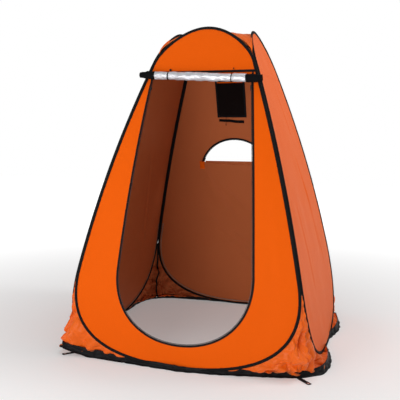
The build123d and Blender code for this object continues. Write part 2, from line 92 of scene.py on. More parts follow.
def on_wall(x, z, offset=0.0, quarter=0):
    """Points of a wall at (x, z), moved outward by offset along its normal."""
    x, z = np.broadcast_arrays(np.asarray(x, float), np.asarray(z, float))
    reach = wall(z) - AXIS_OUT
    y = -(wall(z) + offset * reach / WALL_R)
    return turned(np.stack([x, y, z + offset * (z - AXIS_Z) / WALL_R], axis=1), quarter)


def bezier(p0, p1, p2, p3, t):
    t = np.asarray(t, float)[:, None]
    p0, p1, p2, p3 = (np.asarray(p, float) for p in (p0, p1, p2, p3))
    s = 1 - t
    return s ** 3 * p0 + 3 * s * s * t * p1 + 3 * s * t * t * p2 + t ** 3 * p3


def resample(points, count, closed=False):
    """The same line with its points evenly spaced along it."""
    points = np.asarray(points, float)
    if closed:
        points = np.vstack([points, points[:1]])
    step = np.linalg.norm(np.diff(points, axis=0), axis=1)
    run = np.concatenate([[0], np.cumsum(step)])
    at = np.linspace(0, run[-1], count, endpoint=not closed)
    return np.stack([np.interp(at, run, points[:, k]) for k in range(points.shape[1])], axis=1)


def line_length(points):
    return float(np.linalg.norm(np.diff(np.asarray(points, float), axis=0), axis=1).sum())


def seam_half(z):
    return wall(z) - SEAM_GAP


def seam_direction(z):
    slope = float(seam_half(z - 0.001) - seam_half(z + 0.001)) / 0.002
    length = math.hypot(slope, 1)
    return np.array([slope, -1]) / length


def hoop_top(t):
    foot = np.array([float(seam_half(SEAM_TOP)), SEAM_TOP])
    return bezier((0, HEIGHT), (0.15, HEIGHT), foot - 0.06 * seam_direction(SEAM_TOP), foot, t)


def hoop_foot(t):
    start = np.array([float(seam_half(SEAM_LOW)), SEAM_LOW])
    return bezier(start, start + 0.325 * seam_direction(SEAM_LOW), (0.495, HOOP_BOTTOM),
                  (0, HOOP_BOTTOM), t)


def hoop_half():
    """Right half of a hoop's (x, z) centre line from the apex to the middle of its foot."""
    z = np.linspace(SEAM_TOP, SEAM_LOW, 80)[1:-1]
    seam = np.stack([seam_half(z), z], axis=1)
    return np.vstack([hoop_top(np.linspace(0, 1, 60)), seam, hoop_foot(np.linspace(0, 1, 90))])


def full_outline(half, count):
    """Closed outline from its right half, counter-clockwise from the top."""
    left = half[1:-1] * [-1, 1]
    return resample(np.vstack([half, left[::-1]]), count, closed=True)


def line_normals(points, closed=True):
    """Unit normals on the right-hand side of a plane line's direction."""
    if closed:
        ahead, behind = np.roll(points, -1, axis=0), np.roll(points, 1, axis=0)
    else:
        ahead = np.vstack([points[1:], points[-1:]])
        behind = np.vstack([points[:1], points[:-1]])
    d = ahead - behind
    d /= np.linalg.norm(d, axis=1)[:, None]
    return np.stack([d[:, 1], -d[:, 0]], axis=1)


def inset(points, amount):
    """Closed clockwise outline moved inward by amount."""
    return points + line_normals(points) * amount


TABLE = np.random.default_rng(11).uniform(-1, 1, (64, 64))


def noise(x, y, seed=0):
    """Smooth noise from -1 to 1 with features one unit across."""
    x = np.asarray(x, float) + 13.7 * seed
    y = np.asarray(y, float) + 7.3 * seed
    ix, iy = np.floor(x).astype(int), np.floor(y).astype(int)
    fx, fy = x - ix, y - iy
    fx, fy = fx * fx * (3 - 2 * fx), fy * fy * (3 - 2 * fy)
    a, b = TABLE[ix % 64, iy % 64], TABLE[(ix + 1) % 64, iy % 64]
    c, d = TABLE[ix % 64, (iy + 1) % 64], TABLE[(ix + 1) % 64, (iy + 1) % 64]
    return (a * (1 - fx) + b * fx) * (1 - fy) + (c * (1 - fx) + d * fx) * fy


def fold(x, z, start, end, width, height, bend=0.0):
    """A long ridge from start to end that fades at both ends."""
    s, e = np.array(start, float), np.array(end, float)
    along = (e - s) / np.linalg.norm(e - s)
    length = np.linalg.norm(e - s)
    t = ((x - s[0]) * along[0] + (z - s[1]) * along[1]) / length
    off = (x - s[0]) * along[1] - (z - s[1]) * along[0] + bend * np.sin(np.pi * np.clip(t, 0, 1))
    fade = np.clip(np.minimum(t, 1 - t) * 4, 0, 1)
    fade = fade * fade * (3 - 2 * fade)
    sharp = np.exp(-(off / width) ** 2) - 0.45 * np.exp(-((off - 1.6 * width) / width) ** 2)
    return height * sharp * fade


# ---------------------------------------------------------------- mesh helpers
def new_object(name, verts, faces, materials, uv=None, smooth=True):
    mesh = bpy.data.meshes.new(name)
    mesh.from_pydata([tuple(map(float, v)) for v in verts], [], [tuple(map(int, f)) for f in faces])
    mesh.update()
    if uv is not None:
        layer = mesh.uv_layers.new(name="cloth")
        index = np.zeros(len(mesh.loops), int)
        mesh.loops.foreach_get("vertex_index", index)
        layer.data.foreach_set("uv", np.asarray(uv, float)[index].astype(np.float32).ravel())
    mesh.polygons.foreach_set("use_smooth", [smooth] * len(mesh.polygons))
    for material in materials:
        mesh.materials.append(material)
    obj = bpy.data.objects.new(name, mesh)
    bpy.context.scene.collection.objects.link(obj)
    return obj


def thicken(obj, thickness=CLOTH_T, inner_slot=1):
    """Gives a sheet its thickness inward; the inner face takes another material slot."""
    mod = obj.modifiers.new("thickness", "SOLIDIFY")
    mod.thickness = thickness
    mod.offset = -1
    mod.use_even_offset = False
    mod.material_offset = inner_slot
    mod.material_offset_rim = 0


def grid_faces(rows, columns, closed=False):
    """Quads of a grid of vertices listed row by row; closed joins the last column to the first."""
    faces = []
    last = columns if closed else columns - 1
    for r in range(rows - 1):
        for c in range(last):
            d = (c + 1) % columns
            faces.append((r * columns + c, r * columns + d, (r + 1) * columns + d,
                          (r + 1) * columns + c))
    return faces


def inside(points, loop):
    """Which points lie inside a closed loop."""
    x, y = points[:, 0][:, None], points[:, 1][:, None]
    a, b = loop, np.roll(loop, -1, axis=0)
    crosses = (a[:, 1] > y) != (b[:, 1] > y)
    rise = np.where(np.abs(b[:, 1] - a[:, 1]) < 1e-12, 1e-12, b[:, 1] - a[:, 1])
    at = a[:, 0] + (y - a[:, 1]) / rise * (b[:, 0] - a[:, 0])
    return (crosses & (x < at)).sum(axis=1) % 2 == 1


def nearest(points, line):
    best = np.full(len(points), 9.0)
    for start in range(0, len(line), 64):
        part = line[start:start + 64]
        gap = np.sqrt(((points[:, None, :] - part[None]) ** 2).sum(axis=2)).min(axis=1)
        best = np.minimum(best, gap)
    return best


def triangulated(outline, holes, spacing):
    """Plane vertices and triangles that fill an outline, leaving its holes open."""
    low, high = outline.min(axis=0), outline.max(axis=0)
    rise = spacing * math.sqrt(3) / 2
    rows = []
    for k, z in enumerate(np.arange(low[1], high[1], rise)):
        x = np.arange(low[0] + (k % 2) * spacing / 2, high[0], spacing)
        rows.append(np.stack([x, np.full(len(x), z)], axis=1))
    grid = np.vstack(rows)
    keep = inside(grid, outline)
    for hole in holes:
        keep &= ~inside(grid, hole)
    grid = grid[keep]
    for loop in [outline, *holes]:
        grid = grid[nearest(grid, loop) > spacing * 0.55]
    points, edges = [grid], []
    count = len(grid)
    for loop in [outline, *holes]:
        edges += [(count + i, count + (i + 1) % len(loop)) for i in range(len(loop))]
        points.append(loop)
        count += len(loop)
    flat = np.vstack(points)
    verts, _, faces, *_ = geometry.delaunay_2d_cdt([Vector(p) for p in flat], edges, [], 0, 1e-6)
    verts = np.array([tuple(v) for v in verts])
    faces = np.array(faces)
    middles = verts[faces].mean(axis=1)
    keep = inside(middles, outline)
    for hole in holes:
        keep &= ~inside(middles, hole)
    return verts, faces[keep]


# ---------------------------------------------------------------- materials
def material(name):
    mat = bpy.data.materials.new(name)
    mat.use_nodes = True
    tree = mat.node_tree
    return mat, tree, tree.nodes["Principled BSDF"]


def node(tree, kind, **inputs):
    made = tree.nodes.new(kind)
    for key, value in inputs.items():
        if key in made.inputs:
            made.inputs[key].default_value = value
        else:
            setattr(made, key, value)
    return made


def woven(name, colour, dark, roughness, pitch=0.0011, weave=0.25, sheen=0.0, wear=0.25,
          crease=0.35, coordinates="UV", gloss=0.04, bloom=(1.0, 0.62, 0.42)):
    """Woven cloth: crossed threads, soft creases, uneven dye and a slight grime."""
    mat, tree, shader = material(name)
    link = tree.links.new
    coords = node(tree, "ShaderNodeTexCoord")
    source = coords.outputs[coordinates]
    object_space = coords.outputs["Object"]
    threads = []
    for direction in ("X", "Y"):
        wave = node(tree, "ShaderNodeTexWave", Scale=1 / pitch / 3.14, Distortion=0.6)
        wave.bands_direction = direction
        wave.inputs["Detail"].default_value = 1.0
        link(source, wave.inputs["Vector"])
        threads.append(wave.outputs["Fac"])
    cross = node(tree, "ShaderNodeMath", operation="MAXIMUM")
    link(threads[0], cross.inputs[0])
    link(threads[1], cross.inputs[1])
    creases = node(tree, "ShaderNodeTexNoise", Scale=9.0, Detail=5.0, Roughness=0.55,
                   Distortion=0.8)
    link(object_space, creases.inputs["Vector"])
    dye = node(tree, "ShaderNodeTexNoise", Scale=3.2, Detail=6.0, Roughness=0.6)
    link(object_space, dye.inputs["Vector"])
    mix = node(tree, "ShaderNodeMix", data_type="RGBA")
    mix.inputs[6].default_value = (*dark, 1)
    mix.inputs[7].default_value = (*colour, 1)
    spread = node(tree, "ShaderNodeMapRange")
    spread.inputs["From Min"].default_value = 0.25
    spread.inputs["From Max"].default_value = 0.75
    spread.inputs["To Min"].default_value = 1 - wear
    link(dye.outputs["Fac"], spread.inputs["Value"])
    link(spread.outputs["Result"], mix.inputs[0])
    thread_tint = node(tree, "ShaderNodeMix", data_type="RGBA", blend_type="MULTIPLY")
    thread_tint.inputs[0].default_value = 0.12
    link(mix.outputs[2], thread_tint.inputs[6])
    link(cross.outputs[0], thread_tint.inputs[7])
    link(thread_tint.outputs[2], shader.inputs["Base Color"])
    soft = node(tree, "ShaderNodeBump", Strength=crease, Distance=0.004)
    link(creases.outputs["Fac"], soft.inputs["Height"])
    fine = node(tree, "ShaderNodeBump", Strength=weave, Distance=0.0003)
    link(cross.outputs[0], fine.inputs["Height"])
    link(soft.outputs["Normal"], fine.inputs["Normal"])
    link(fine.outputs["Normal"], shader.inputs["Normal"])
    rough = node(tree, "ShaderNodeMapRange")
    rough.inputs["To Min"].default_value = roughness - 0.06
    rough.inputs["To Max"].default_value = min(1.0, roughness + 0.08)
    link(creases.outputs["Fac"], rough.inputs["Value"])
    link(rough.outputs["Result"], shader.inputs["Roughness"])
    shader.inputs["Sheen Weight"].default_value = sheen
    shader.inputs["Sheen Roughness"].default_value = 0.42
    shader.inputs["Sheen Tint"].default_value = (*bloom, 1)
    shader.inputs["Specular IOR Level"].default_value = gloss
    return mat


def hard(name, colour, roughness, metallic=0.0, scale=400.0, bump=0.15):
    """Moulded or metal surface with fine scratches and uneven gloss."""
    mat, tree, shader = material(name)
    link = tree.links.new
    coords = node(tree, "ShaderNodeTexCoord")
    grain = node(tree, "ShaderNodeTexNoise", Scale=scale, Detail=4.0, Roughness=0.6)
    link(coords.outputs["Object"], grain.inputs["Vector"])
    tint = node(tree, "ShaderNodeMix", data_type="RGBA")
    tint.inputs[6].default_value = (*[c * 0.7 for c in colour], 1)
    tint.inputs[7].default_value = (*[min(1, c * 1.25) for c in colour], 1)
    link(grain.outputs["Fac"], tint.inputs[0])
    link(tint.outputs[2], shader.inputs["Base Color"])
    rough = node(tree, "ShaderNodeMapRange")
    rough.inputs["To Min"].default_value = max(0.05, roughness - 0.12)
    rough.inputs["To Max"].default_value = min(1.0, roughness + 0.12)
    link(grain.outputs["Fac"], rough.inputs["Value"])
    link(rough.outputs["Result"], shader.inputs["Roughness"])
    dents = node(tree, "ShaderNodeBump", Strength=bump, Distance=0.0004)
    link(grain.outputs["Fac"], dents.inputs["Height"])
    link(dents.outputs["Normal"], shader.inputs["Normal"])
    shader.inputs["Metallic"].default_value = metallic
    return mat


STITCH_INSET = 0.0016    # a row of stitches to the tape's edge
THREAD_HALF = 0.00042


def stitched(name, colour, dark, thread, half_width, roughness=0.62, pitch=0.0034):
    """Ribbed tape with a row of stitches along each edge. UV: x across, y along, in metres."""
    mat, tree, shader = material(name)
    link = tree.links.new

    def maths(operation, a, b=None):
        made = node(tree, "ShaderNodeMath", operation=operation)
        for socket, value in zip(made.inputs, (a, b)):
            if value is None:
                continue
            if isinstance(value, (int, float)):
                socket.default_value = value
            else:
                link(value, socket)
        return made.outputs[0]

    coords = node(tree, "ShaderNodeTexCoord")
    split = node(tree, "ShaderNodeSeparateXYZ")
    link(coords.outputs["UV"], split.inputs[0])
    across = maths("ABSOLUTE", split.outputs[0])
    from_row = maths("ABSOLUTE", maths("SUBTRACT", across, half_width - STITCH_INSET))
    row = maths("LESS_THAN", from_row, THREAD_HALF)
    phase = maths("FRACT", maths("DIVIDE", split.outputs[1], pitch))
    stitch = maths("MULTIPLY", row, maths("LESS_THAN", phase, 0.68))
    rib = maths("SINE", maths("MULTIPLY", split.outputs[1], 2 * 3.14159 / 0.0011))
    fuzz = node(tree, "ShaderNodeTexNoise", Scale=60.0, Detail=6.0, Roughness=0.65)
    link(coords.outputs["Object"], fuzz.inputs["Vector"])
    base = node(tree, "ShaderNodeMix", data_type="RGBA")
    base.inputs[6].default_value = (*dark, 1)
    base.inputs[7].default_value = (*colour, 1)
    link(fuzz.outputs["Fac"], base.inputs[0])
    sewn = node(tree, "ShaderNodeMix", data_type="RGBA")
    link(stitch, sewn.inputs[0])
    link(base.outputs[2], sewn.inputs[6])
    sewn.inputs[7].default_value = (*thread, 1)
    link(sewn.outputs[2], shader.inputs["Base Color"])
    height = maths("ADD", maths("MULTIPLY", rib, 0.12), maths("MULTIPLY", stitch, 0.9))
    bumps = maths("ADD", height, maths("MULTIPLY", fuzz.outputs["Fac"], 0.8))
    bump = node(tree, "ShaderNodeBump", Strength=0.7, Distance=0.0006)
    link(bumps, bump.inputs["Height"])
    link(bump.outputs["Normal"], shader.inputs["Normal"])
    shader.inputs["Roughness"].default_value = roughness
    shader.inputs["Specular IOR Level"].default_value = 0.12
    return mat


ORANGE = woven("orange_cloth", (0.80, 0.105, 0.0008), (0.72, 0.088, 0.0005), 0.58, sheen=0.30)
INSIDE = woven("coated_inside", (0.52, 0.145, 0.050), (0.42, 0.11, 0.036), 0.5)
ROOF = woven("roof_cloth", (0.82, 0.12, 0.002), (0.74, 0.10, 0.001), 0.5, sheen=0.30)
GUSSET = woven("gusset_cloth", (0.82, 0.125, 0.002), (0.70, 0.095, 0.001), 0.42, sheen=0.25,
               crease=0.6, gloss=0.25)
# Painted shade: the vent cover's inner face is a near-black reddish orange, standing in for the
# shade seen through the vent's net.
VENT_SHADE = woven("painted_vent_shade", (0.016, 0.004, 0.003), (0.010, 0.003, 0.002), 0.6)
BINDING = woven("black_binding", (0.005, 0.005, 0.006), (0.003, 0.003, 0.003), 0.62,
                pitch=0.0016, weave=0.6, crease=0.5, coordinates="Object")
SLEEVE = stitched("hoop_binding", (0.005, 0.005, 0.006), (0.003, 0.003, 0.003),
                  (0.014, 0.014, 0.016), 0.0185)
TAPE = stitched("sewn_tape", (0.006, 0.006, 0.007), (0.003, 0.003, 0.004),
                (0.02, 0.02, 0.022), 0.006)
HEM = stitched("inner_hem", (0.34, 0.22, 0.17), (0.24, 0.14, 0.10), (0.5, 0.42, 0.36), 0.004)
SKIRT = woven("skirt_cloth", (0.006, 0.006, 0.007), (0.003, 0.003, 0.004), 0.5, crease=0.8,
              gloss=0.13)
WEBBING = stitched("webbing", (0.014, 0.014, 0.015), (0.009, 0.009, 0.01), (0.05, 0.05, 0.05),
                   0.0125, pitch=0.003)
SILVER = woven("silver_lining", (0.62, 0.615, 0.65), (0.50, 0.495, 0.53), 0.33, crease=0.9,
               weave=0.12, gloss=0.5)
STEEL = hard("spring_steel", (0.45, 0.45, 0.47), 0.3, metallic=1.0)
PLATED = hard("plated_eyelet", (0.62, 0.62, 0.64), 0.25, metallic=1.0)
TEETH = hard("zip_teeth", (0.012, 0.012, 0.013), 0.35)
LACQUER = hard("black_lacquer", (0.02, 0.02, 0.021), 0.3, metallic=0.3)
TOGGLE = hard("toggle_plastic", (0.006, 0.006, 0.007), 0.55, scale=900)
CORD = hard("braided_cord", (0.008, 0.006, 0.006), 0.8, scale=1500, bump=0.8)
for soft_black in (TOGGLE, CORD):
    soft_black.node_tree.nodes["Principled BSDF"].inputs["Specular IOR Level"].default_value = 0.15
SILVER.node_tree.nodes["Principled BSDF"].inputs["Metallic"].default_value = 0.45


# ---------------------------------------------------------------- camera, light, floor
def make_camera():
    data = bpy.data.cameras.new("camera")
    data.sensor_width = 36
    data.lens = 56.52
    yaw, pitch, roll = 0.3014, 0.0940, 0.0088
    ahead = Vector((-math.sin(yaw) * math.cos(pitch), math.cos(yaw) * math.cos(pitch),
                    -math.sin(pitch)))
    right = ahead.cross(Vector((0, 0, 1))).normalized()
    up = right.cross(ahead)
    tilted = right * math.cos(roll) + up * math.sin(roll)
    upright = up * math.cos(roll) - right * math.sin(roll)
    camera = bpy.data.objects.new("camera", data)
    turn = Matrix((tilted, upright, -ahead)).transposed().to_4x4()
    camera.matrix_world = Matrix.Translation((1.0880, -3.8455, 1.2369)) @ turn
    bpy.context.scene.collection.objects.link(camera)
    bpy.context.scene.camera = camera


def area_light(name, place, aim, size, watts, colour=(1, 1, 1)):
    data = bpy.data.lights.new(name, "AREA")
    data.shape = "DISK"
    data.size = size
    data.energy = watts
    data.color = colour
    light = bpy.data.objects.new(name, data)
    light.location = place
    light.rotation_euler = (Vector(aim) - Vector(place)).to_track_quat("-Z", "Y").to_euler()
    bpy.context.scene.collection.objects.link(light)


def make_stage():
    size = 14
    floor = new_object("floor", [(-size, -size, 0), (size, -size, 0), (size, size, 0),
                                 (-size, size, 0)], [(0, 1, 2, 3)], [])
    mat, tree, shader = material("floor")
    shader.inputs["Base Color"].default_value = (0.70, 0.70, 0.70, 1)
    shader.inputs["Roughness"].default_value = 0.9
    shader.inputs["Specular IOR Level"].default_value = 0.1
    # Painted light: the floor glows, faintly near the shelter and fully far off, so it reads white
    # where the lamps don't reach and fades into the backdrop; the glow also lights the shelter from
    # below.
    shader.inputs["Emission Color"].default_value = (1, 1, 1, 1)
    coords = node(tree, "ShaderNodeTexCoord")
    distance = node(tree, "ShaderNodeVectorMath", operation="LENGTH")
    tree.links.new(coords.outputs["Object"], distance.inputs[0])
    painted_floor_light = node(tree, "ShaderNodeMapRange")
    for socket, value in (("From Min", 1.0), ("From Max", 5.5), ("To Min", 0.24), ("To Max", 1.0)):
        painted_floor_light.inputs[socket].default_value = value
    tree.links.new(distance.outputs["Value"], painted_floor_light.inputs["Value"])
    tree.links.new(painted_floor_light.outputs["Result"], shader.inputs["Emission Strength"])
    floor.data.materials.append(mat)
    world = bpy.data.worlds.new("studio")
    bpy.context.scene.world = world
    world.use_nodes = True
    tree = world.node_tree
    sky = tree.nodes["Background"]
    sky.inputs["Color"].default_value = (1, 1, 1, 1)
    sky.inputs["Strength"].default_value = 0.36
    backdrop = node(tree, "ShaderNodeBackground", Strength=1.0)
    backdrop.inputs["Color"].default_value = (1, 1, 1, 1)
    rays = node(tree, "ShaderNodeLightPath")
    mix = node(tree, "ShaderNodeMixShader")
    tree.links.new(rays.outputs["Is Camera Ray"], mix.inputs[0])
    tree.links.new(sky.outputs[0], mix.inputs[1])
    tree.links.new(backdrop.outputs[0], mix.inputs[2])
    tree.links.new(mix.outputs[0], tree.nodes["World Output"].inputs["Surface"])
    area_light("key", (-1.6, -4.6, 2.2), (0, 0, 0.7), 2.4, 50)
    area_light("low", (-0.3, -3.9, 0.6), (0, 0, 0.25), 1.4, 34)
    area_light("side", (2.9, 0.4, 3.1), (0.35, 0, 1.5), 1.2, 44)
    area_light("top", (0.4, -0.6, 4.8), (0, 0, 1.5), 1.6, 22)
    bpy.context.scene.view_settings.view_transform = "Standard"


# ---------------------------------------------------------------- walls
HOOP = full_outline(hoop_half(), 420)


def smooth_fade(distance, reach):
    s = np.clip(distance / reach, 0, 1)
    return s * s * (3 - 2 * s)


def puckers(points, edge, reach=0.035, height=0.0011, seed=1):
    """Small gathers beside a stitched edge."""
    gap = nearest(points, edge)
    x, z = points.T
    ripple = noise(x / 0.021, z / 0.021, seed) * height
    return ripple * np.exp(-(gap / reach) ** 2), gap


def wall_relief(points, side, holes):
    """How far each point of a wall stands off its smooth surface."""
    x, z = points.T
    seed = SIDES[side] + 2
    relief, gap = puckers(points, HOOP, seed=seed)
    free = smooth_fade(gap, 0.16)
    for hole in holes:
        near, hole_gap = puckers(points, hole, 0.025, 0.0009, seed + 5)
        relief += near
        free *= 0.25 + 0.75 * smooth_fade(hole_gap, 0.10)
    relief += free * 0.0035 * noise(x / 0.31, z / 0.42, seed)
    relief += free * 0.0014 * noise(x / 0.11 + z / 0.35, z / 0.24, seed + 9)
    relief += free * WRINKLES[side](x, z)
    relief -= 0.0008 * np.exp(-((z - TAPE_Z) / 0.004) ** 2)
    return relief


def front_wrinkles(x, z):
    out = fold(x, z, (-0.50, 0.95), (-0.60, 0.35), 0.02, 0.0025)
    out += fold(x, z, (0.46, 1.0), (0.55, 0.4), 0.022, 0.002)
    out += fold(x, z, (-0.25, 0.09), (0.3, 0.075), 0.018, 0.002)
    return out


def right_wrinkles(x, z):
    out = fold(x, z, (0.05, 1.25), (0.33, 0.42), 0.016, 0.0035, 0.02)
    out += fold(x, z, (0.12, 1.05), (0.42, 0.35), 0.014, 0.003, 0.02)
    out += fold(x, z, (-0.30, 0.95), (-0.15, 0.30), 0.020, 0.003)
    out += fold(x, z, (-0.35, 0.62), (0.30, 0.55), 0.012, 0.002)
    out += fold(x, z, (-0.40, 0.34), (0.42, 0.28), 0.012, 0.002)
    out += fold(x, z, (0.02, 1.72), (0.18, 1.20), 0.014, 0.002)
    return out


def back_wrinkles(x, z):
    """Seen from outside, so +x here is to the left of someone looking in through the door."""
    out = fold(x, z, (0.24, 1.06), (-0.02, 0.62), 0.017, -0.006, 0.02)
    out += fold(x, z, (0.16, 0.98), (-0.10, 0.70), 0.015, -0.005)
    out += fold(x, z, (0.26, 0.74), (-0.12, 0.40), 0.014, -0.004, 0.02)
    out += fold(x, z, (0.20, 0.60), (-0.25, 0.22), 0.014, -0.004, 0.02)
    out += fold(x, z, (0.10, 0.62), (-0.32, 0.34), 0.012, -0.004)
    out += fold(x, z, (-0.24, 1.05), (-0.12, 0.72), 0.016, -0.004)
    out += fold(x, z, (0.10, 1.42), (0.24, 1.15), 0.02, -0.003)
    return out


def left_wrinkles(x, z):
    out = fold(x, z, (-0.10, 1.2), (-0.36, 0.40), 0.016, 0.003, -0.02)
    out += fold(x, z, (0.20, 0.9), (0.34, 0.3), 0.018, 0.0028)
    out += fold(x, z, (-0.35, 0.46), (0.30, 0.52), 0.012, 0.002)
    return out


WRINKLES = {"front": front_wrinkles, "right": right_wrinkles, "back": back_wrinkles,
            "left": left_wrinkles}


def door_half(grow=0.0):
    """Right half of the doorway's edge from the top down, moved outward by grow."""
    s = np.linspace(0, 1, 60)
    x = DOOR_TOP_HALF + (DOOR_SIDE_HALF - DOOR_TOP_HALF) * s + DOOR_SIDE_BOW * 4 * s * (1 - s)
    side = np.stack([x, DOOR_TOP + (DOOR_SIDE_Z - DOOR_TOP) * s], axis=1)
    foot = bezier((DOOR_SIDE_HALF, DOOR_SIDE_Z), (DOOR_SIDE_HALF + 0.003, DOOR_SIDE_Z - 0.235),
                  (0.22, DOOR_FOOT_Z), (0, DOOR_FOOT_Z), np.linspace(0, 1, 60)[1:])
    half = np.vstack([side, foot])
    half = half - line_normals(half, closed=False) * grow
    half[-1] = (0, DOOR_FOOT_Z - grow)
    return half


def door_line(grow, top=DOOR_TOP):
    """Open U from the doorway's top right down and round to its top left."""
    half = door_half(grow)
    half[0, 1] = top
    return np.vstack([half, (half[:-1] * [-1, 1])[::-1]])


WINDOW_R, WINDOW_CENTRE, SILL = 0.256, 1.00376, 1.091
LEAN = math.atan2(float(wall(1.1735 - 0.001) - wall(1.1735 + 0.001)), 0.002)


def window_arc(radius, from_deg=-69.0, to_deg=69.0, count=70):
    """Points of the window's arc in the back wall's (x, z), from outside view."""
    a = np.radians(np.linspace(from_deg, to_deg, count))
    return np.stack([radius * np.sin(a), WINDOW_CENTRE + radius * np.cos(a) * math.cos(LEAN)],
                    axis=1)


def window_hole(radius):
    """The half-moon opening with its sagging sill, clockwise."""
    arc = window_arc(radius)
    x = np.linspace(arc[-1, 0], arc[0, 0], 40)[1:-1]
    sag = 0.016 * (1 - (x / arc[-1, 0]) ** 2)
    return np.vstack([arc, np.stack([x, arc[0, 1] - 0.004 - sag], axis=1)])


VENT = (-0.087, 0.100, 1.411, 1.660)   # x low, x high, z low, z high, seen from outside


def vent_loop(grow):
    x0, x1, z0, z1 = VENT[0] - grow, VENT[1] + grow, VENT[2] - grow, VENT[3] + grow
    corners = np.array([(x0, z0), (x0, z1), (x1, z1), (x1, z0)])
    return resample(corners, 76, closed=True)


WALL_HOLES = {"front": [resample(door_line(0.0), 300)], "back": [window_hole(WINDOW_R),
                                                                 vent_loop(0.0)],
              "right": [], "left": []}


def make_walls():
    edge = inset(HOOP, 0.003)
    for side, quarter in SIDES.items():
        holes = WALL_HOLES[side]
        points, faces = triangulated(edge, holes, GRID)
        relief = wall_relief(points, side, holes)
        verts = on_wall(points[:, 0], points[:, 1], relief + CLOTH_T / 2, quarter)
        obj = new_object(f"{side}_wall", verts, facing_out(verts, faces), [ORANGE, INSIDE],
                         uv=points)
        thicken(obj)
        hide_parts(f"{side}_panel")
        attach(obj, SHELTER)


def facing_out(verts, faces):
    """Triangles of a wall, turned round where they face the middle of the shelter."""
    corners = verts[np.asarray(faces)]
    normals = np.cross(corners[:, 1] - corners[:, 0], corners[:, 2] - corners[:, 0])
    outward = (normals[:, :2] * corners.mean(axis=1)[:, :2]).sum(axis=1) > 0
    return np.where(outward[:, None], faces, np.asarray(faces)[:, ::-1])


# ---------------------------------------------------------------- strips and small solids
def wall_strip(name, line, half_width, offset, side, mat, cad=(), thickness=0.0009):
    """Flat tape sewn on a wall along an (x, z) line, offset from the cloth's surface."""
    line = np.asarray(line, float)
    across = line_normals(line, closed=False)
    share = np.linspace(-1, 1, 5)
    flat = (line[:, None, :] + share[None, :, None] * half_width * across[:, None, :])
    flat = flat.reshape(-1, 2)
    crown = np.tile(0.0003 * (1 - share ** 2), len(line)) * np.sign(offset)
    run = np.concatenate([[0], np.cumsum(np.linalg.norm(np.diff(line, axis=0), axis=1))])
    uv = np.stack([np.tile(share * half_width, len(line)), np.repeat(run, 5)], axis=1)
    lift = wall_relief(flat, side, WALL_HOLES[side]) + offset + crown
    verts = on_wall(flat[:, 0], flat[:, 1], lift, SIDES[side])
    obj = new_object(name, verts, grid_faces(len(line), 5), [mat], uv=uv)
    thicken(obj, thickness, 0)
    obj.modifiers["thickness"].offset = 0
    if cad:
        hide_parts(*cad)
    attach(obj, SHELTER)
    return obj


def tube_mesh(name, path, radius, mat, sides=10):
    """Round tube through points in space; radius is one number or one for each point."""
    path = np.asarray(path, float)
    radius = np.broadcast_to(np.asarray(radius, float), len(path))
    ahead = np.vstack([path[1:], path[-1:]]) - np.vstack([path[:1], path[:-1]])
    ahead /= np.linalg.norm(ahead, axis=1)[:, None]
    side = np.cross(ahead[0], (0, 0, 1) if abs(ahead[0][2]) < 0.9 else (1, 0, 0))
    verts = []
    for point, d, r in zip(path, ahead, radius):
        side = side - d * (side @ d)
        side /= np.linalg.norm(side)
        up = np.cross(d, side)
        turn = np.linspace(0, 2 * math.pi, sides, endpoint=False)
        verts.append(point + r * (np.outer(np.cos(turn), side) + np.outer(np.sin(turn), up)))
    faces = grid_faces(len(path), sides, closed=True)
    faces.append(tuple(range(sides))[::-1])
    faces.append(tuple(range((len(path) - 1) * sides, len(path) * sides)))
    return new_object(name, np.vstack(verts), faces, [mat])


def lathe(name, profile, place, axis, mat, sides=40):
    """Turned solid: profile gives (distance along the axis, radius)."""
    axis = Vector(axis).normalized()
    turn = Vector((0, 0, 1)).rotation_difference(axis).to_matrix()
    verts = []
    for along, radius in profile:
        for k in range(sides):
            a = 2 * math.pi * k / sides
            r = max(radius, 1e-5)
            verts.append(Vector(place) + turn @ Vector((r * math.cos(a), r * math.sin(a), along)))
    return new_object(name, verts, grid_faces(len(profile), sides, closed=True), [mat])


# ---------------------------------------------------------------- hoop sleeves
FIN = 0.0098             # the sleeve's sewn edge laps this far over the wall


def make_sleeves():
    path = resample(HOOP, 460, closed=True)
    inward = line_normals(path)
    count = len(path)
    rng = np.random.default_rng(5)
    gather = rng.uniform(0.94, 1.05, count)
    gather = (gather + np.roll(gather, 1)) / 2
    bend = np.radians(np.linspace(28, 332, 15))
    section = [(math.cos(a) * SLEEVE_R, math.sin(a) * SLEEVE_R) for a in bend]
    section += [(FIN - 0.003, -0.0025), (FIN, -0.0022), (FIN, 0.0022), (FIN - 0.003, 0.0025)]
    section = section[-2:] + section[:-2]
    wide, deep = np.array(section).T
    run_in = np.concatenate([[0], np.cumsum(np.hypot(np.diff(wide), np.diff(deep)))])
    run_in -= run_in[-1] / 2
    verts = []
    for i in range(count):
        flat = path[i] + np.outer(wide, inward[i])
        verts.append(on_wall(flat[:, 0], flat[:, 1], deep * gather[i]))
    columns = len(section)
    faces = grid_faces(count, columns, closed=True)
    faces += [((count - 1) * columns + c, (count - 1) * columns + (c + 1) % columns,
               (c + 1) % columns, c) for c in range(columns)]
    run = np.repeat(np.arange(count) * line_length(path) / count, columns)
    uv = np.stack([np.tile(run_in, count), run], axis=1)
    for side, quarter in SIDES.items():
        obj = new_object(f"{side}_sleeve", turned(np.vstack(verts), quarter), faces, [SLEEVE],
                         uv=uv)
        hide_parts(f"hoop_sleeve_{side}")
        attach(obj, SHELTER)


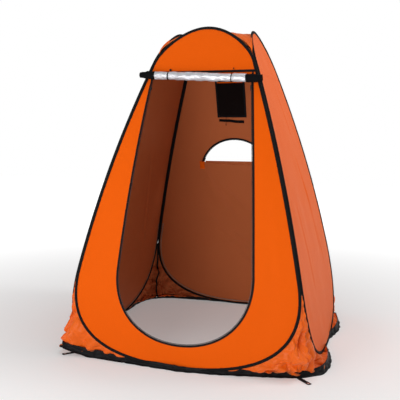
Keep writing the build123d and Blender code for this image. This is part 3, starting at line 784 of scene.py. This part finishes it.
# ---------------------------------------------------------------- roof cap
def make_roof():
    n = 44
    t_corner = 0.80
    s = np.linspace(-1, 1, n + 1)
    edge = hoop_top(np.abs(s) * t_corner)
    corner = (edge[0, 0] + float(wall(edge[0, 1]))) / 2
    share = np.abs(s) ** 3
    ex = (edge[:, 0] * (1 - share) + corner * share) * np.sign(s)
    ey = -(wall(edge[:, 1]) * (1 - share) + corner * share)
    ez = edge[:, 1]
    u, v = np.meshgrid(s, s)
    gx = ex[None, :] + u * (-ey[:, None] - corner)
    gy = ex[:, None] + v * (-ey[None, :] - corner)
    drop = (1.892 - ez[0]) / (corner * corner) ** 1.6
    gz = 1.892 - drop * np.abs(gx * gy) ** 1.6
    gz[0], gz[-1], gz[:, 0], gz[:, -1] = ez, ez, ez, ez
    for _ in range(60):   # the cloth settles between its edges
        inner = (gz[:-2, 1:-1] + gz[2:, 1:-1] + gz[1:-1, :-2] + gz[1:-1, 2:]) / 4
        gz[1:-1, 1:-1] += 0.30 * (inner - gz[1:-1, 1:-1])
    border = np.minimum(1 - np.abs(u), 1 - np.abs(v))
    free = smooth_fade(border, 0.35)
    gz += free * 0.004 * noise(gx / 0.09, gy / 0.09, 3)
    diagonal = np.abs(np.abs(u) - np.abs(v))
    gz += free * 0.004 * np.cos(diagonal * 26) * np.exp(-diagonal * 3) * smooth_fade(
        np.hypot(u, v), 0.6)
    verts = np.stack([gx, gy, gz], axis=2).reshape(-1, 3)
    uv = np.stack([gx, gy], axis=2).reshape(-1, 2)
    obj = new_object("roof_cap", verts, grid_faces(n + 1, n + 1), [ROOF, INSIDE], uv=uv)
    thicken(obj)
    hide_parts("roof_panel")
    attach(obj, SHELTER)


# ---------------------------------------------------------------- gussets and skirt
# Where the orange cloth ends above the ground at each corner, from the middle of one side
# to the middle of the next, all seen as the front right corner: x, y, height.
HEMS = {
    "front_right": [(0.0, -0.734, 0.022), (0.17, -0.722, 0.026), (0.333, -0.694, 0.032),
                    (0.538, -0.655, 0.034), (0.666, -0.607, 0.034), (0.744, -0.548, 0.036),
                    (0.766, -0.431, 0.04), (0.758, -0.303, 0.04), (0.727, -0.137, 0.034),
                    (0.690, -0.040, 0.026)],
    "back_right": [(0.040, -0.700, 0.026), (0.17, -0.728, 0.03), (0.30, -0.752, 0.036),
                   (0.46, -0.744, 0.036), (0.60, -0.715, 0.034), (0.672, -0.655, 0.034),
                   (0.715, -0.55, 0.036), (0.726, -0.38, 0.034), (0.724, -0.18, 0.026),
                   (0.728, 0.0, 0.022)],
    "back_left": [(0.0, -0.728, 0.022), (0.20, -0.726, 0.03), (0.38, -0.718, 0.034),
                  (0.53, -0.712, 0.034), (0.65, -0.670, 0.036), (0.706, -0.590, 0.034),
                  (0.726, -0.46, 0.034), (0.718, -0.30, 0.032), (0.724, -0.14, 0.026),
                  (0.728, 0.0, 0.022)],
    "front_left": [(0.0, -0.728, 0.022), (0.16, -0.722, 0.03), (0.34, -0.722, 0.032),
                   (0.50, -0.734, 0.036), (0.63, -0.738, 0.052), (0.704, -0.722, 0.074),
                   (0.690, -0.62, 0.052), (0.694, -0.44, 0.034), (0.718, -0.20, 0.028),
                   (0.734, 0.0, 0.022)],
}
HEM_COUNT = 121


def hem_line(corner, count=HEM_COUNT):
    """Lower edge of one gusset, as for the front right corner, as a smooth curve."""
    points = np.array(HEMS[corner])
    for _ in range(4):   # corner cutting
        fresh = [points[:1]]
        for a, b in zip(points, points[1:]):
            fresh.append(np.array([a * 0.75 + b * 0.25, a * 0.25 + b * 0.75]))
        points = np.vstack([*fresh, points[-1:]])
    line = resample(points, count)
    line[:, 2] += 0.004 * noise(line[:, 0] / 0.06, line[:, 1] / 0.06, len(corner))
    return line


def hem_between(hem, start, end, count):
    """Stretch of the hem that lies below a gusset row from start to end."""
    first = np.interp(start[0], hem[:len(hem) // 2, 0], np.arange(len(hem) // 2))
    second = np.interp(end[1], hem[len(hem) // 2:, 1], np.arange(len(hem) // 2, len(hem)))
    at = np.linspace(first, second, count)
    return np.stack([np.interp(at, np.arange(len(hem)), hem[:, k]) for k in range(3)], axis=1)


def gusset_start(corner):
    """Gusset before it is crumpled: hoop to hoop across, seam to ground down."""
    across, down = HEM_COUNT, 60
    t = 0.06 + 0.88 * np.linspace(0, 1, down) ** 0.92
    foot = hoop_foot(t)
    foot = foot - 0.005 * line_normals(foot, closed=False)
    left = on_wall(foot[:, 0], foot[:, 1])
    right = np.stack([-left[:, 1], -left[:, 0], left[:, 2]], axis=1)
    hem = hem_line(corner)
    v = np.linspace(0, 1, across)[:, None]
    arch = (4 * v * (1 - v)) ** 0.6
    grid = []
    for r in range(down):
        s = r / (down - 1)
        a, b = left[r], right[r]
        reach = (a[0] - a[1]) / 2
        reach = reach + (0.745 - reach) * s ** 0.8
        control = np.array([reach, -reach, a[2]])
        line = ((1 - v) ** 3 * a + 3 * (1 - v) ** 2 * v * control + 3 * (1 - v) * v * v * control
                + v ** 3 * b)
        low = hem_between(hem, a, b, across)
        level = low.copy()
        level[:, 2] = a[2]
        pull = s ** 1.5 * arch
        line = line * (1 - pull) + level * pull
        drop = max(0.0, (s - 0.5) / 0.5) ** 1.5 * np.maximum(arch, s ** 6)
        grid.append(line * (1 - drop) + low * drop)
    grid = np.array(grid)
    grid[:, 0], grid[:, -1] = left, right
    return grid


PUFFS = {"front_right": (0.052, 0.30, 0.120), "back_right": (0.030, 0.25, 0.10),
         "back_left": (0.026, 0.3, 0.11), "front_left": (0.030, 0.32, 0.13)}


def hoop_gap(points):
    """Distance of points near the front right corner from the two hoops there."""
    front = hoop_foot(np.linspace(0, 1, 120))
    front = on_wall(front[:, 0], front[:, 1])
    right = np.stack([-front[:, 1], -front[:, 0], front[:, 2]], axis=1)
    return nearest(points, np.vstack([front, right]))


def shaped(grid, corner):
    """Puffs the gusset out above the ground, folds it in up its middle and creases it."""
    rows, columns = grid.shape[:2]
    seed = CORNERS[corner] + 4
    s, v = np.meshgrid(np.linspace(0, 1, rows), np.linspace(0, 1, columns), indexing="ij")
    z = grid[:, :, 2]
    out = grid * [1, 1, 0]
    out = out / np.linalg.norm(out, axis=2, keepdims=True)
    gap = hoop_gap(grid.reshape(-1, 3)).reshape(rows, columns)
    free = smooth_fade(gap - 0.010, 0.07) * smooth_fade(1 - s, 0.08)
    size, width, level = PUFFS[corner]
    free = free * smooth_fade(gap - 0.004, 0.03)
    puff = size * np.exp(-((z - level) / 0.055) ** 2) * np.exp(-((v - 0.55) / width) ** 2)
    valley = -0.055 * np.exp(-((v - 0.46) / 0.09) ** 2) * smooth_fade(z - 0.15, 0.09)
    u_mm, v_mm = v * 1.1, s * 0.6
    crumple = 0.044 * (np.abs(noise(u_mm / 0.14 + v_mm / 0.2, v_mm / 0.11, seed)) - 0.4)
    crumple += 0.020 * (np.abs(noise(u_mm / 0.07 - v_mm / 0.12, v_mm / 0.06, seed + 3)) - 0.4)
    crumple += 0.005 * (np.abs(noise(u_mm / 0.036, v_mm / 0.038, seed + 6)) - 0.4)
    move = (puff + valley + crumple * (0.35 + 0.65 * smooth_fade(s, 0.5))) * free
    grid = grid + out * move[:, :, None]
    lift = 0.016 * noise(u_mm / 0.09, v_mm / 0.07, seed + 8) * free
    grid[:, :, 2] += lift * smooth_fade(s, 0.4)
    return grid


def crumple(obj, pinned, frames=9, extra=0.08):
    """Cloth simulation of loose cloth: it is a little larger than the frame that holds it."""
    group = obj.vertex_groups.new(name="sewn")
    group.add([int(i) for i in pinned], 1.0, "REPLACE")
    cloth = obj.modifiers.new("cloth", "CLOTH")
    settings = cloth.settings
    settings.quality = 7
    settings.mass = 0.05
    settings.tension_stiffness = 14
    settings.compression_stiffness = 14
    settings.shear_stiffness = 6
    settings.bending_stiffness = 0.03
    settings.shrink_min = -extra
    settings.vertex_group_mass = "sewn"
    settings.effector_weights.gravity = 0.25
    cloth.point_cache.frame_end = frames
    scene = bpy.context.scene
    for frame_number in range(1, frames + 1):
        scene.frame_set(frame_number)
    shape = obj.evaluated_get(bpy.context.evaluated_depsgraph_get())
    moved = np.zeros(len(obj.data.vertices) * 3)
    shape.data.vertices.foreach_get("co", moved)
    obj.modifiers.remove(cloth)
    scene.frame_set(1)
    moved = moved.reshape(-1, 3)
    start = np.zeros(len(obj.data.vertices) * 3)
    obj.data.vertices.foreach_get("co", start)
    start = start.reshape(-1, 3)
    step = moved - start
    far = np.linalg.norm(step, axis=1)
    step *= (np.minimum(far, 0.03) / np.maximum(far, 1e-9))[:, None]
    settled = start + step
    settled[:, 2] = np.maximum(settled[:, 2], 0.012)
    settled[:, :2] = np.clip(settled[:, :2], -0.780, 0.780)
    obj.data.vertices.foreach_set("co", settled.ravel())
    obj.data.update()


def make_gussets():
    for corner, quarter in CORNERS.items():
        grid = shaped(gusset_start(corner), corner)
        rows, columns = grid.shape[:2]
        u, v = np.meshgrid(np.linspace(0, 1.2, columns), np.linspace(0, 0.6, rows))
        index = np.arange(rows * columns).reshape(rows, columns)
        obj = new_object(f"{corner}_gusset", turned(grid.reshape(-1, 3), quarter),
                         [f[::-1] for f in grid_faces(rows, columns)], [GUSSET, INSIDE],
                         uv=np.stack([u, v], axis=2).reshape(-1, 2))
        crumple(obj, np.concatenate([index[0], index[-1], index[:, 0], index[:, -1]]))
        co = np.zeros(rows * columns * 3)
        obj.data.vertices.foreach_get("co", co)
        spine = co.reshape(rows, columns, 3)[:, columns // 2]
        smooth = obj.modifiers.new("smooth", "SUBSURF")
        smooth.levels = smooth.render_levels = 1
        thicken(obj)
        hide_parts(f"gusset_{corner}")
        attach(obj, SHELTER)
        # It isn't the cut: the gusset is a curved triangle, about 1.25 x 0.55 m overall.
        make_corner_tape(corner, spine)


def make_corner_tape(corner, spine):
    """Black tape sewn down the inside of a gusset's middle."""
    spine = resample(spine[:-1], 60)
    for _ in range(6):
        spine[1:-1] = (spine[:-2] + 2 * spine[1:-1] + spine[2:]) / 4
    outward = spine * [1, 1, 0]
    outward /= np.linalg.norm(outward, axis=1)[:, None]
    across = np.stack([-outward[:, 1], outward[:, 0], 0 * outward[:, 0]], axis=1)
    verts = []
    for point, out, side in zip(spine, outward, across):
        for share in (-1, -0.5, 0, 0.5, 1):
            verts.append(point - out * (0.0125 + 0.001 * (1 - share ** 2)) + side * share * 0.006)
    run = np.repeat(np.arange(60) * line_length(spine) / 59, 5)
    uv = np.stack([np.tile(np.linspace(-0.006, 0.006, 5), 60), run], axis=1)
    obj = new_object(f"{corner}_tape", verts, grid_faces(60, 5), [TAPE], uv=uv)
    thicken(obj, 0.0008, 0)
    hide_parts(f"corner_tape_{corner}")
    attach(obj, SHELTER)


def make_skirt():
    """Black strip sewn under the orange cloth, folded out on to the ground."""
    order = ["front_left", "front_right", "back_right", "back_left"]
    hems = {c: turned(hem_line(c), CORNERS[c]) for c in order}
    half = HEM_COUNT // 2
    ends = {"front": ("front_left", "front_right"), "right": ("front_right", "back_right"),
            "back": ("back_right", "back_left"), "left": ("back_left", "front_left")}
    profile = [(0.0018, 1.13), (0.0030, 0.96), (0.0055, 0.72), (0.0045, 0.50), (0.0075, 0.28),
               (0.0135, 0.10), (0.0195, 0.035)]
    for side, (first, second) in ends.items():
        line = np.vstack([hems[first][half:], hems[second][:half + 1]])
        line = resample(line, 190)
        ahead = np.vstack([line[1:], line[-1:]]) - np.vstack([line[:1], line[:-1]])
        out = np.stack([ahead[:, 1], -ahead[:, 0]], axis=1)
        out /= np.linalg.norm(out, axis=1)[:, None]
        run = np.arange(190) * line_length(line) / 189
        seed = SIDES[side] + 20
        raised = 1.7 * np.maximum(0.0, line[:, 2] - 0.043)
        verts = []
        for k, (reach, level) in enumerate(profile):
            ruck = 0.0045 * noise(run / 0.030, run * 0 + k * 0.45, seed)
            ruck += 0.0022 * noise(run / 0.012, run * 0 + k * 0.6, seed + 2)
            ruck *= min(1.0, k / 2)
            flat = line[:, :2] + out * (reach + ruck + 0.0012)[:, None]
            z = np.maximum(raised + (line[:, 2] - raised) * level, 0.0022)
            z += np.abs(ruck) * 0.35 * (level > 0.05)
            verts.append(np.column_stack([np.clip(flat, -0.785, 0.785), z]))
        verts = np.stack(verts, axis=1).reshape(-1, 3)
        uv = np.stack([np.tile(np.linspace(0, 0.048, len(profile)), 190),
                       np.repeat(run, len(profile))], axis=1)
        obj = new_object(f"{side}_skirt", verts, grid_faces(190, len(profile)), [SKIRT], uv=uv)
        smooth = obj.modifiers.new("smooth", "SUBSURF")
        smooth.levels = smooth.render_levels = 1
        thicken(obj, 0.0012, 0)
        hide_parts(f"skirt_{side}")
        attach(obj, SHELTER)


# ---------------------------------------------------------------- door
def make_door():
    tape_end = float(seam_half(TAPE_Z)) - 0.004
    x = np.linspace(-tape_end, tape_end, 120)
    wall_strip("top_tape", np.stack([x, np.full(120, TAPE_Z)], axis=1), TAPE_W / 2, 0.0022,
               "front", TAPE, cad=["door_top_tape"])
    line = resample(door_line(0.0045, TAPE_Z - 0.008), 420)
    wall_strip("door_tape", line, 0.0058, 0.0016, "front", TAPE, cad=["door_zip_tape"])
    make_teeth("door_teeth", resample(door_line(-0.0042, DOOR_TOP - 0.001), 2400), "front",
               "door_zip_chain")


def make_teeth(name, line, side, cad):
    """Moulded zip teeth, one small rounded block at each point of the line."""
    normals = line_normals(line, closed=False)
    along = np.stack([-normals[:, 1], normals[:, 0]], axis=1)
    block = [(-1, -1, -1), (1, -1, -1), (1, 1, -1), (-1, 1, -1),
             (-0.7, -0.6, 1), (0.7, -0.6, 1), (0.7, 0.6, 1), (-0.7, 0.6, 1)]
    quads = [(0, 3, 2, 1), (4, 5, 6, 7), (0, 1, 5, 4), (1, 2, 6, 5), (2, 3, 7, 6), (3, 0, 4, 7)]
    gap = line_length(line) / (len(line) - 1)
    flat, depth, faces = [], [], []
    for i, (point, n, d) in enumerate(zip(line, normals, along)):
        faces += [tuple(i * 8 + k for k in quad) for quad in quads]
        for a, b, c in block:
            flat.append(point + n * a * 0.0018 + d * b * gap * 0.34)
            depth.append(0.0012 + 0.0011 * c)
    flat = np.array(flat)
    verts = on_wall(flat[:, 0], flat[:, 1], np.array(depth), SIDES[side])
    obj = new_object(name, verts, faces, [TEETH], smooth=False)
    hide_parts(cad)
    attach(obj, SHELTER)


def roll_point(x):
    """Centre of the rolled-up door at x; the roll lies a little aslant."""
    x = np.asarray(x)
    slant = 0.0215 * x / ROLL_END_HALF
    droop = 0.0065 - 0.0035 * x / ROLL_END_HALF
    return on_wall(x, ROLL_Z - slant - droop, ROLL_OFFSET)


def rolled_cloth(name, stations, mat, seed, turns=3.2, ridges=0.0):
    """Spiral roll through (x, radius) stations: its outer lap ends in a free edge."""
    stations = np.array(stations)
    x = np.linspace(stations[0, 0], stations[-1, 0], 130)
    radius = np.interp(x, stations[:, 0], stations[:, 1])
    centre = roll_point(x)
    laps = 190
    turn = np.linspace(-0.9, -0.9 + 2 * math.pi * turns, laps)
    share = np.linspace(0, 1, laps)
    verts = []
    for i in range(len(x)):
        r = radius[i] * (1 - 0.17 * share * turns / 3.2)
        lump = 0.0030 * noise(turn / 0.8 + x[i] / 0.06, x[i] / 0.045 + 0 * turn, seed)
        lump += 0.0020 * noise(turn / 0.35 - x[i] / 0.03, x[i] / 0.020 + 0 * turn, seed + 2)
        lump += ridges * np.sin(x[i] * 900 + 1.7 * np.sin(turn)) * (share < 0.35)
        r = r + lump * (1 - share)
        verts.append(centre[i] + np.stack([0 * turn, -r * np.sin(turn) * 0.97,
                                           r * np.cos(turn)], axis=1))
    uv = np.stack([np.repeat(x, laps), np.tile(turn * 0.022, len(x))], axis=1)
    obj = new_object(name, np.vstack(verts), [f[::-1] for f in grid_faces(len(x), laps)],
                     [mat], uv=uv)
    thicken(obj, 0.0009, 0)
    return obj


def make_roll():
    silver = [(-ROLL_HALF, 0.0205), (-0.225, 0.0225), (-TIE_X - 0.012, 0.0215), (-TIE_X, 0.0196),
              (-TIE_X + 0.012, 0.0216), (-0.11, 0.0226), (0.02, 0.0228), (0.13, 0.0224),
              (TIE_X - 0.014, 0.0218), (TIE_X, 0.0196), (TIE_X + 0.012, 0.0224),
              (0.235, 0.0230), (ROLL_HALF, 0.0218)]
    roll = rolled_cloth("door_roll_silver", silver, SILVER, 31)
    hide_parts("door_roll")
    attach(roll, SHELTER)
    ends = {"left": [(-ROLL_END_HALF, 0.0155), (-0.352, 0.0172), (-0.330, 0.0178),
                     (-0.322, 0.0226), (-0.29, 0.0244), (-ROLL_HALF + 0.003, 0.0236)],
            "right": [(ROLL_HALF - 0.003, 0.0232), (0.29, 0.0226), (0.318, 0.0206),
                      (0.345, 0.0196), (ROLL_END_HALF, 0.0188)]}
    for name, stations in ends.items():
        end = rolled_cloth(f"door_roll_wound_{name}", stations, BINDING, 40, turns=3.8,
                           ridges=0.0008)
        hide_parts(f"door_roll_end_{name}")
        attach(end, SHELTER)
    for name, sign in (("left", -1), ("right", 1)):
        make_tie(name, sign)


def make_tie(name, sign):
    """Strap round the roll, with its ends sewn under the tape above the door."""
    half = 0.0032 if name == "left" else 0.0022
    centre = roll_point(np.array([sign * TIE_X]))[0]
    turn = np.radians(np.linspace(48, 392, 64))
    ring = np.stack([0.0016 * np.sin(2 * turn), -0.0226 * np.sin(turn),
                     0.0226 * np.cos(turn)], axis=1) + centre
    top = on_wall(np.array([sign * TIE_X]), np.array([TAPE_Z + 0.002]), 0.0045)[0]
    mid = (ring[0] + top) / 2 + [0, -0.002, 0.003]
    path = np.vstack([top, mid, ring, ring[-1] * 0.4 + top * 0.6 + [0, -0.001, 0.002]])
    path = resample(path, 110)
    verts = []
    for point in path:
        out = (point - centre) * [0, 1, 1]
        out /= max(np.linalg.norm(out), 1e-9)
        for a, b in ((-1, 0), (-0.8, 0.0009), (0.8, 0.0009), (1, 0), (0.8, -0.0003),
                     (-0.8, -0.0003)):
            verts.append(point + np.array([a * half, 0, 0]) + out * b)
    obj = new_object(f"door_tie_strap_{name}", np.array(verts), grid_faces(110, 6, closed=True),
                     [BINDING])
    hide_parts(f"door_tie_{name}")
    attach(obj, SHELTER)
    make_toggle(name)


def make_toggle(name):
    low, high = (Vector(p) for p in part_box(f"door_toggle_{name}"))
    middle = (low + high) / 2
    slope = float(wall(1.63) - wall(1.65)) / 0.02
    axis = Vector((0, -1, slope)).normalized()
    cap = [(-0.0052, 0), (-0.0052, 0.0026), (-0.0048, 0.0032), (0.0012, 0.0033), (0.0016, 0.0052),
           (0.0022, 0.0061), (0.0030, 0.0064), (0.0038, 0.0060), (0.0048, 0.0044),
           (0.0053, 0.0022), (0.0054, 0)]
    if name == "right":
        cap = [(-0.0052, 0), (-0.0052, 0.0022), (-0.0046, 0.0027), (0.0030, 0.0026),
               (0.0038, 0.0034), (0.0046, 0.0030), (0.0052, 0.0016), (0.0054, 0)]
    obj = lathe(f"door_toggle_cap_{name}", cap, middle, axis, TOGGLE)
    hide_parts(f"door_toggle_{name}")
    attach(obj, f"toggle_{name}")


# ---------------------------------------------------------------- rear window and vent
def make_window():
    tape = window_arc(WINDOW_R + 0.004, -71, 71, 150)
    wall_strip("window_tape", tape, 0.0058, 0.0016, "back", TAPE, cad=["window_zip_tape"])
    wall_strip("window_tape_inside", tape, 0.0058, -0.0030, "back", TAPE)
    make_teeth("window_teeth", window_arc(WINDOW_R - 0.0044, -68, 68, 400), "back",
               "window_zip_chain")
    make_flap()
    low, high = (np.array(p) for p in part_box("window_zip_garage"))
    middle = (low + high) / 2
    u, v = np.meshgrid(np.linspace(-1, 1, 13), np.linspace(-1, 1, 19))
    x, z = -(middle[0] + u * 0.018), middle[2] + v * 0.027
    flat = np.stack([x.ravel(), z.ravel()], axis=1)
    puff = (1 - u ** 4) * (1 - v ** 4) * 0.003 + 0.001 * noise(u * 2, v * 3, 5)
    verts = on_wall(flat[:, 0], flat[:, 1], -0.0030 - puff.ravel(), SIDES["back"])
    obj = new_object("zip_garage", verts, grid_faces(19, 13), [ROOF], uv=flat)
    thicken(obj, 0.0008, 0)
    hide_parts("window_zip_garage")
    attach(obj, SHELTER)


def make_flap():
    """Window flap that hangs outside below the sill, rucked along its curved edge."""
    low, high = (np.array(p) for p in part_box("window_flap"))
    width, top = (high[0] - low[0]) / 2 + 0.007, SILL + 0.0015
    depth = top - low[2] + 0.008
    rows, columns = 34, 60
    s, u = np.meshgrid(np.linspace(0, 1, rows), np.linspace(-1, 1, columns), indexing="ij")
    arc = np.sqrt(np.clip(1 - u ** 2, 0, 1)) ** 0.9
    z = top - s * arc * depth
    x = u * width
    out = 0.0060 + 0.010 * s * (0.4 + 0.6 * np.abs(noise(x / 0.07, s * 1.5, 17)))
    out += 0.004 * s * np.sin(x / 0.031 + 1.5 * np.sin(x / 0.11))
    flat = np.stack([x.ravel(), z.ravel()], axis=1)
    verts = on_wall(flat[:, 0], flat[:, 1], out.ravel(), SIDES["back"])
    obj = new_object("window_flap_cloth", verts, [f[::-1] for f in grid_faces(rows, columns)],
                     [ORANGE, INSIDE], uv=flat)
    thicken(obj)
    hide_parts("window_flap")
    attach(obj, "window_cover")
    rim = verts.reshape(rows, columns, 3)[-1, 2:-2]
    edge = tube_mesh("window_flap_binding", rim, 0.0026, BINDING, sides=8)
    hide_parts("window_flap_edge")
    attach(edge, "window_cover")


def make_vent():
    x0, x1, z0, z1 = VENT
    for k, (a, b) in enumerate((((x0, z0), (x1, z0)), ((x1, z0), (x1, z1)), ((x1, z1), (x0, z1)),
                                ((x0, z1), (x0, z0)))):
        a, b = np.array(a, float), np.array(b, float)
        d = (b - a) / np.linalg.norm(b - a)
        line = resample(np.stack([a - d * 0.010, b + d * 0.010]), 40)
        line = line + np.array([d[1], -d[0]]) * 0.004
        wall_strip(f"vent_frame_{k}", line, 0.006, -0.0030 - 0.0004 * k, "back", TAPE,
                   cad=["vent_binding"] if k == 0 else ())
    make_net()
    strip = np.stack([np.linspace(-0.077, 0.099, 60), np.linspace(1.370, 1.383, 60)], axis=1)
    strip[:, 1] += 0.0012 * np.sin(strip[:, 0] * 60)
    wall_strip("vent_band", strip, 0.0088, -0.0038, "back", BINDING, cad=["vent_strip"],
               thickness=0.0022)
    make_vent_cord()
    if "vent_cover" in frame["nodes"]:
        make_vent_cover()


def make_net():
    """Net of crossed threads across the vent."""
    x0, x1, z0, z1 = VENT
    verts, faces = [], []
    thread, cell = 0.00042, 0.0022
    lines = [((x, z0 - 0.003), (x, z1 + 0.003)) for x in np.arange(x0, x1, cell)]
    lines += [((x0 - 0.003, z), (x1 + 0.003, z)) for z in np.arange(z0, z1, cell)]
    for start, end in lines:
        line = resample(np.array([start, end]), 9)
        side = line_normals(line, closed=False) * thread
        ring = []
        for offset, shift in ((0, 1), (0.0004, 0), (0, -1), (-0.0004, 0)):
            flat = line + side * shift
            ring.append(on_wall(flat[:, 0], flat[:, 1], offset, SIDES["back"]))
        block = np.stack(ring, axis=1).reshape(-1, 3)
        start_at = sum(len(v) for v in verts)
        faces += [tuple(start_at + i for i in f) for f in grid_faces(9, 4, closed=True)]
        verts.append(block)
    obj = new_object("vent_net", np.vstack(verts), faces, [CORD], smooth=False)
    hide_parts("vent_mesh")
    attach(obj, SHELTER)


# points of the cord that hangs from the vent's lower edge, inside the back wall
VENT_CORD = [(-0.043, 0.382, 1.444), (-0.0445, 0.3855, 1.428), (-0.043, 0.3865, 1.404),
             (-0.045, 0.386, 1.380), (-0.0435, 0.387, 1.364), (-0.044, 0.3865, 1.352)]


def make_vent_cord():
    data = bpy.data.curves.new("vent_string", "CURVE")
    data.dimensions = "3D"
    data.bevel_depth = 0.00125
    data.bevel_resolution = 3
    data.use_fill_caps = True
    data.resolution_u = 12
    spline = data.splines.new("NURBS")
    spline.points.add(len(VENT_CORD) - 1)
    for point, place in zip(spline.points, VENT_CORD):
        point.co = (*place, 1)
    spline.order_u = 3
    spline.use_endpoint_u = True
    data.materials.append(CORD)
    string = bpy.data.objects.new("vent_string", data)
    bpy.context.scene.collection.objects.link(string)
    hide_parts("vent_cord")
    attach(string, SHELTER)
    end = np.array(VENT_CORD[-1])
    turn = np.linspace(0, 2 * math.pi * 2, 60)
    wind = np.stack([0.0020 * np.cos(turn), 0.0020 * np.sin(turn),
                     -0.0012 - 0.0052 * np.linspace(0, 1, 60) + 0.0009 * np.sin(turn * 1.5)],
                    axis=1)
    knot = tube_mesh("vent_string_knot", end + wind, 0.0014, CORD, sides=8)
    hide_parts("vent_cord_knot")
    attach(knot, SHELTER)


def make_vent_cover():
    """Flap over the outside of the vent, sewn along its top edge."""
    low, high = (np.array(p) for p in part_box("vent_cover"))
    rows, columns = 40, 30
    s, u = np.meshgrid(np.linspace(0, 1, rows), np.linspace(0, 1, columns), indexing="ij")
    x = -high[0] + u * (high[0] - low[0])
    z = high[2] - 0.001 - s * (high[2] - low[2] - 0.002)
    loose = 0.0032 + s * (0.005 + 0.004 * noise(x / 0.05, s * 2, 23))
    loose += 0.003 * s * np.sin(x / 0.022)
    flat = np.stack([x.ravel(), z.ravel()], axis=1)
    verts = on_wall(flat[:, 0], flat[:, 1], loose.ravel(), SIDES["back"])
    # Its inner face takes the painted shade, near black, for the shade behind the vent's net.
    obj = new_object("vent_cover_cloth", verts, [f[::-1] for f in grid_faces(rows, columns)],
                     [ORANGE, VENT_SHADE], uv=flat)
    thicken(obj)
    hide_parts("vent_cover")
    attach(obj, "vent_flap")
    # The area is capped just under the flat rectangle's; the cloth itself is 4% larger.
    seam = np.stack([np.linspace(-high[0] - 0.002, -low[0] + 0.002, 40),
                     np.full(40, high[2] + 0.001)], axis=1)
    wall_strip("vent_cover_seam", seam, 0.005, 0.0030, "back", TAPE)


# ---------------------------------------------------------------- seams, hems and peg tabs
def make_hems():
    """Pale selvedge sewn along the inside of each wall's lower edge, and the high seams."""
    low = HOOP[HOOP[:, 1] < 0.62]
    order = np.argsort(np.arctan2(low[:, 0], -(low[:, 1] - 0.9)))
    low = low[order]
    for side in SIDES:
        line = resample(low, 220)
        line = line + line_normals(line, closed=False) * -0.019
        wall_strip(f"{side}_hem", line, 0.0036, -0.0026, side, HEM, thickness=0.0006)
    for side in ("right", "back", "left"):
        half = float(seam_half(TAPE_Z)) - 0.016
        x = np.linspace(-half, half, 80)
        wall_strip(f"{side}_seam", np.stack([x, np.full(80, TAPE_Z)], axis=1), 0.0038, 0.0008,
                   side, ORANGE, thickness=0.0007)


def make_peg_tabs():
    for corner, quarter in CORNERS.items():
        eye = np.array([EYELET, -EYELET])
        root = -0.092 if corner == "front_right" else -0.050
        outline = resample(np.array([(root, -0.0125), (0.012, -0.0125), (0.0165, -0.008),
                                     (0.0165, 0.008), (0.012, 0.0125), (root, 0.0125)]),
                           72, closed=True)
        ring = np.radians(np.linspace(0, 360, 28, endpoint=False))
        hole = 0.0068 * np.stack([np.cos(ring), np.sin(ring)], axis=1)
        flat, faces = triangulated(outline, [hole], 0.0032)
        along, across = np.array([1, -1]) / math.sqrt(2), np.array([1, 1]) / math.sqrt(2)
        place = eye + flat[:, :1] * along + flat[:, 1:] * across
        height = 0.0009 + 0.0007 * (noise(flat[:, 0] / 0.01, flat[:, 1] / 0.02, quarter) + 1)
        height *= smooth_fade(np.linalg.norm(flat, axis=1) - 0.006, 0.008) * 0.6 + 0.7
        verts = turned(np.column_stack([place, height]), quarter)
        obj = new_object(f"{corner}_tab", verts, faces, [WEBBING], uv=flat[:, ::-1])
        thicken(obj, 0.0014, 0)
        obj.modifiers["thickness"].offset = 1
        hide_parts(f"peg_tab_{corner}")
        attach(obj, SHELTER)


# ---------------------------------------------------------------- CAD nodes that stay
def finish_nodes():
    looks = {"orange_cloth": ORANGE, "black_binding": BINDING, "skirt_cloth": SKIRT,
             "webbing": BINDING, "spring_wire": STEEL, "eyelet_metal": PLATED,
             "zip_tape": BINDING, "zip_teeth": TEETH, "zip_metal": LACQUER,
             "silver_lining": SILVER, "toggle_plastic": TOGGLE, "mesh": BINDING}
    for part in frame["record"]["subparts"]:
        obj = frame["nodes"][part["node"]]
        obj.data.materials.clear()
        obj.data.materials.append(looks[part["material_slot"]])


make_camera()
make_stage()
finish_nodes()
make_walls()
make_sleeves()
make_roof()
make_gussets()
make_skirt()
make_door()
make_roll()
make_window()
make_vent()
make_hems()
make_peg_tabs()

bpy.context.view_layer.update()
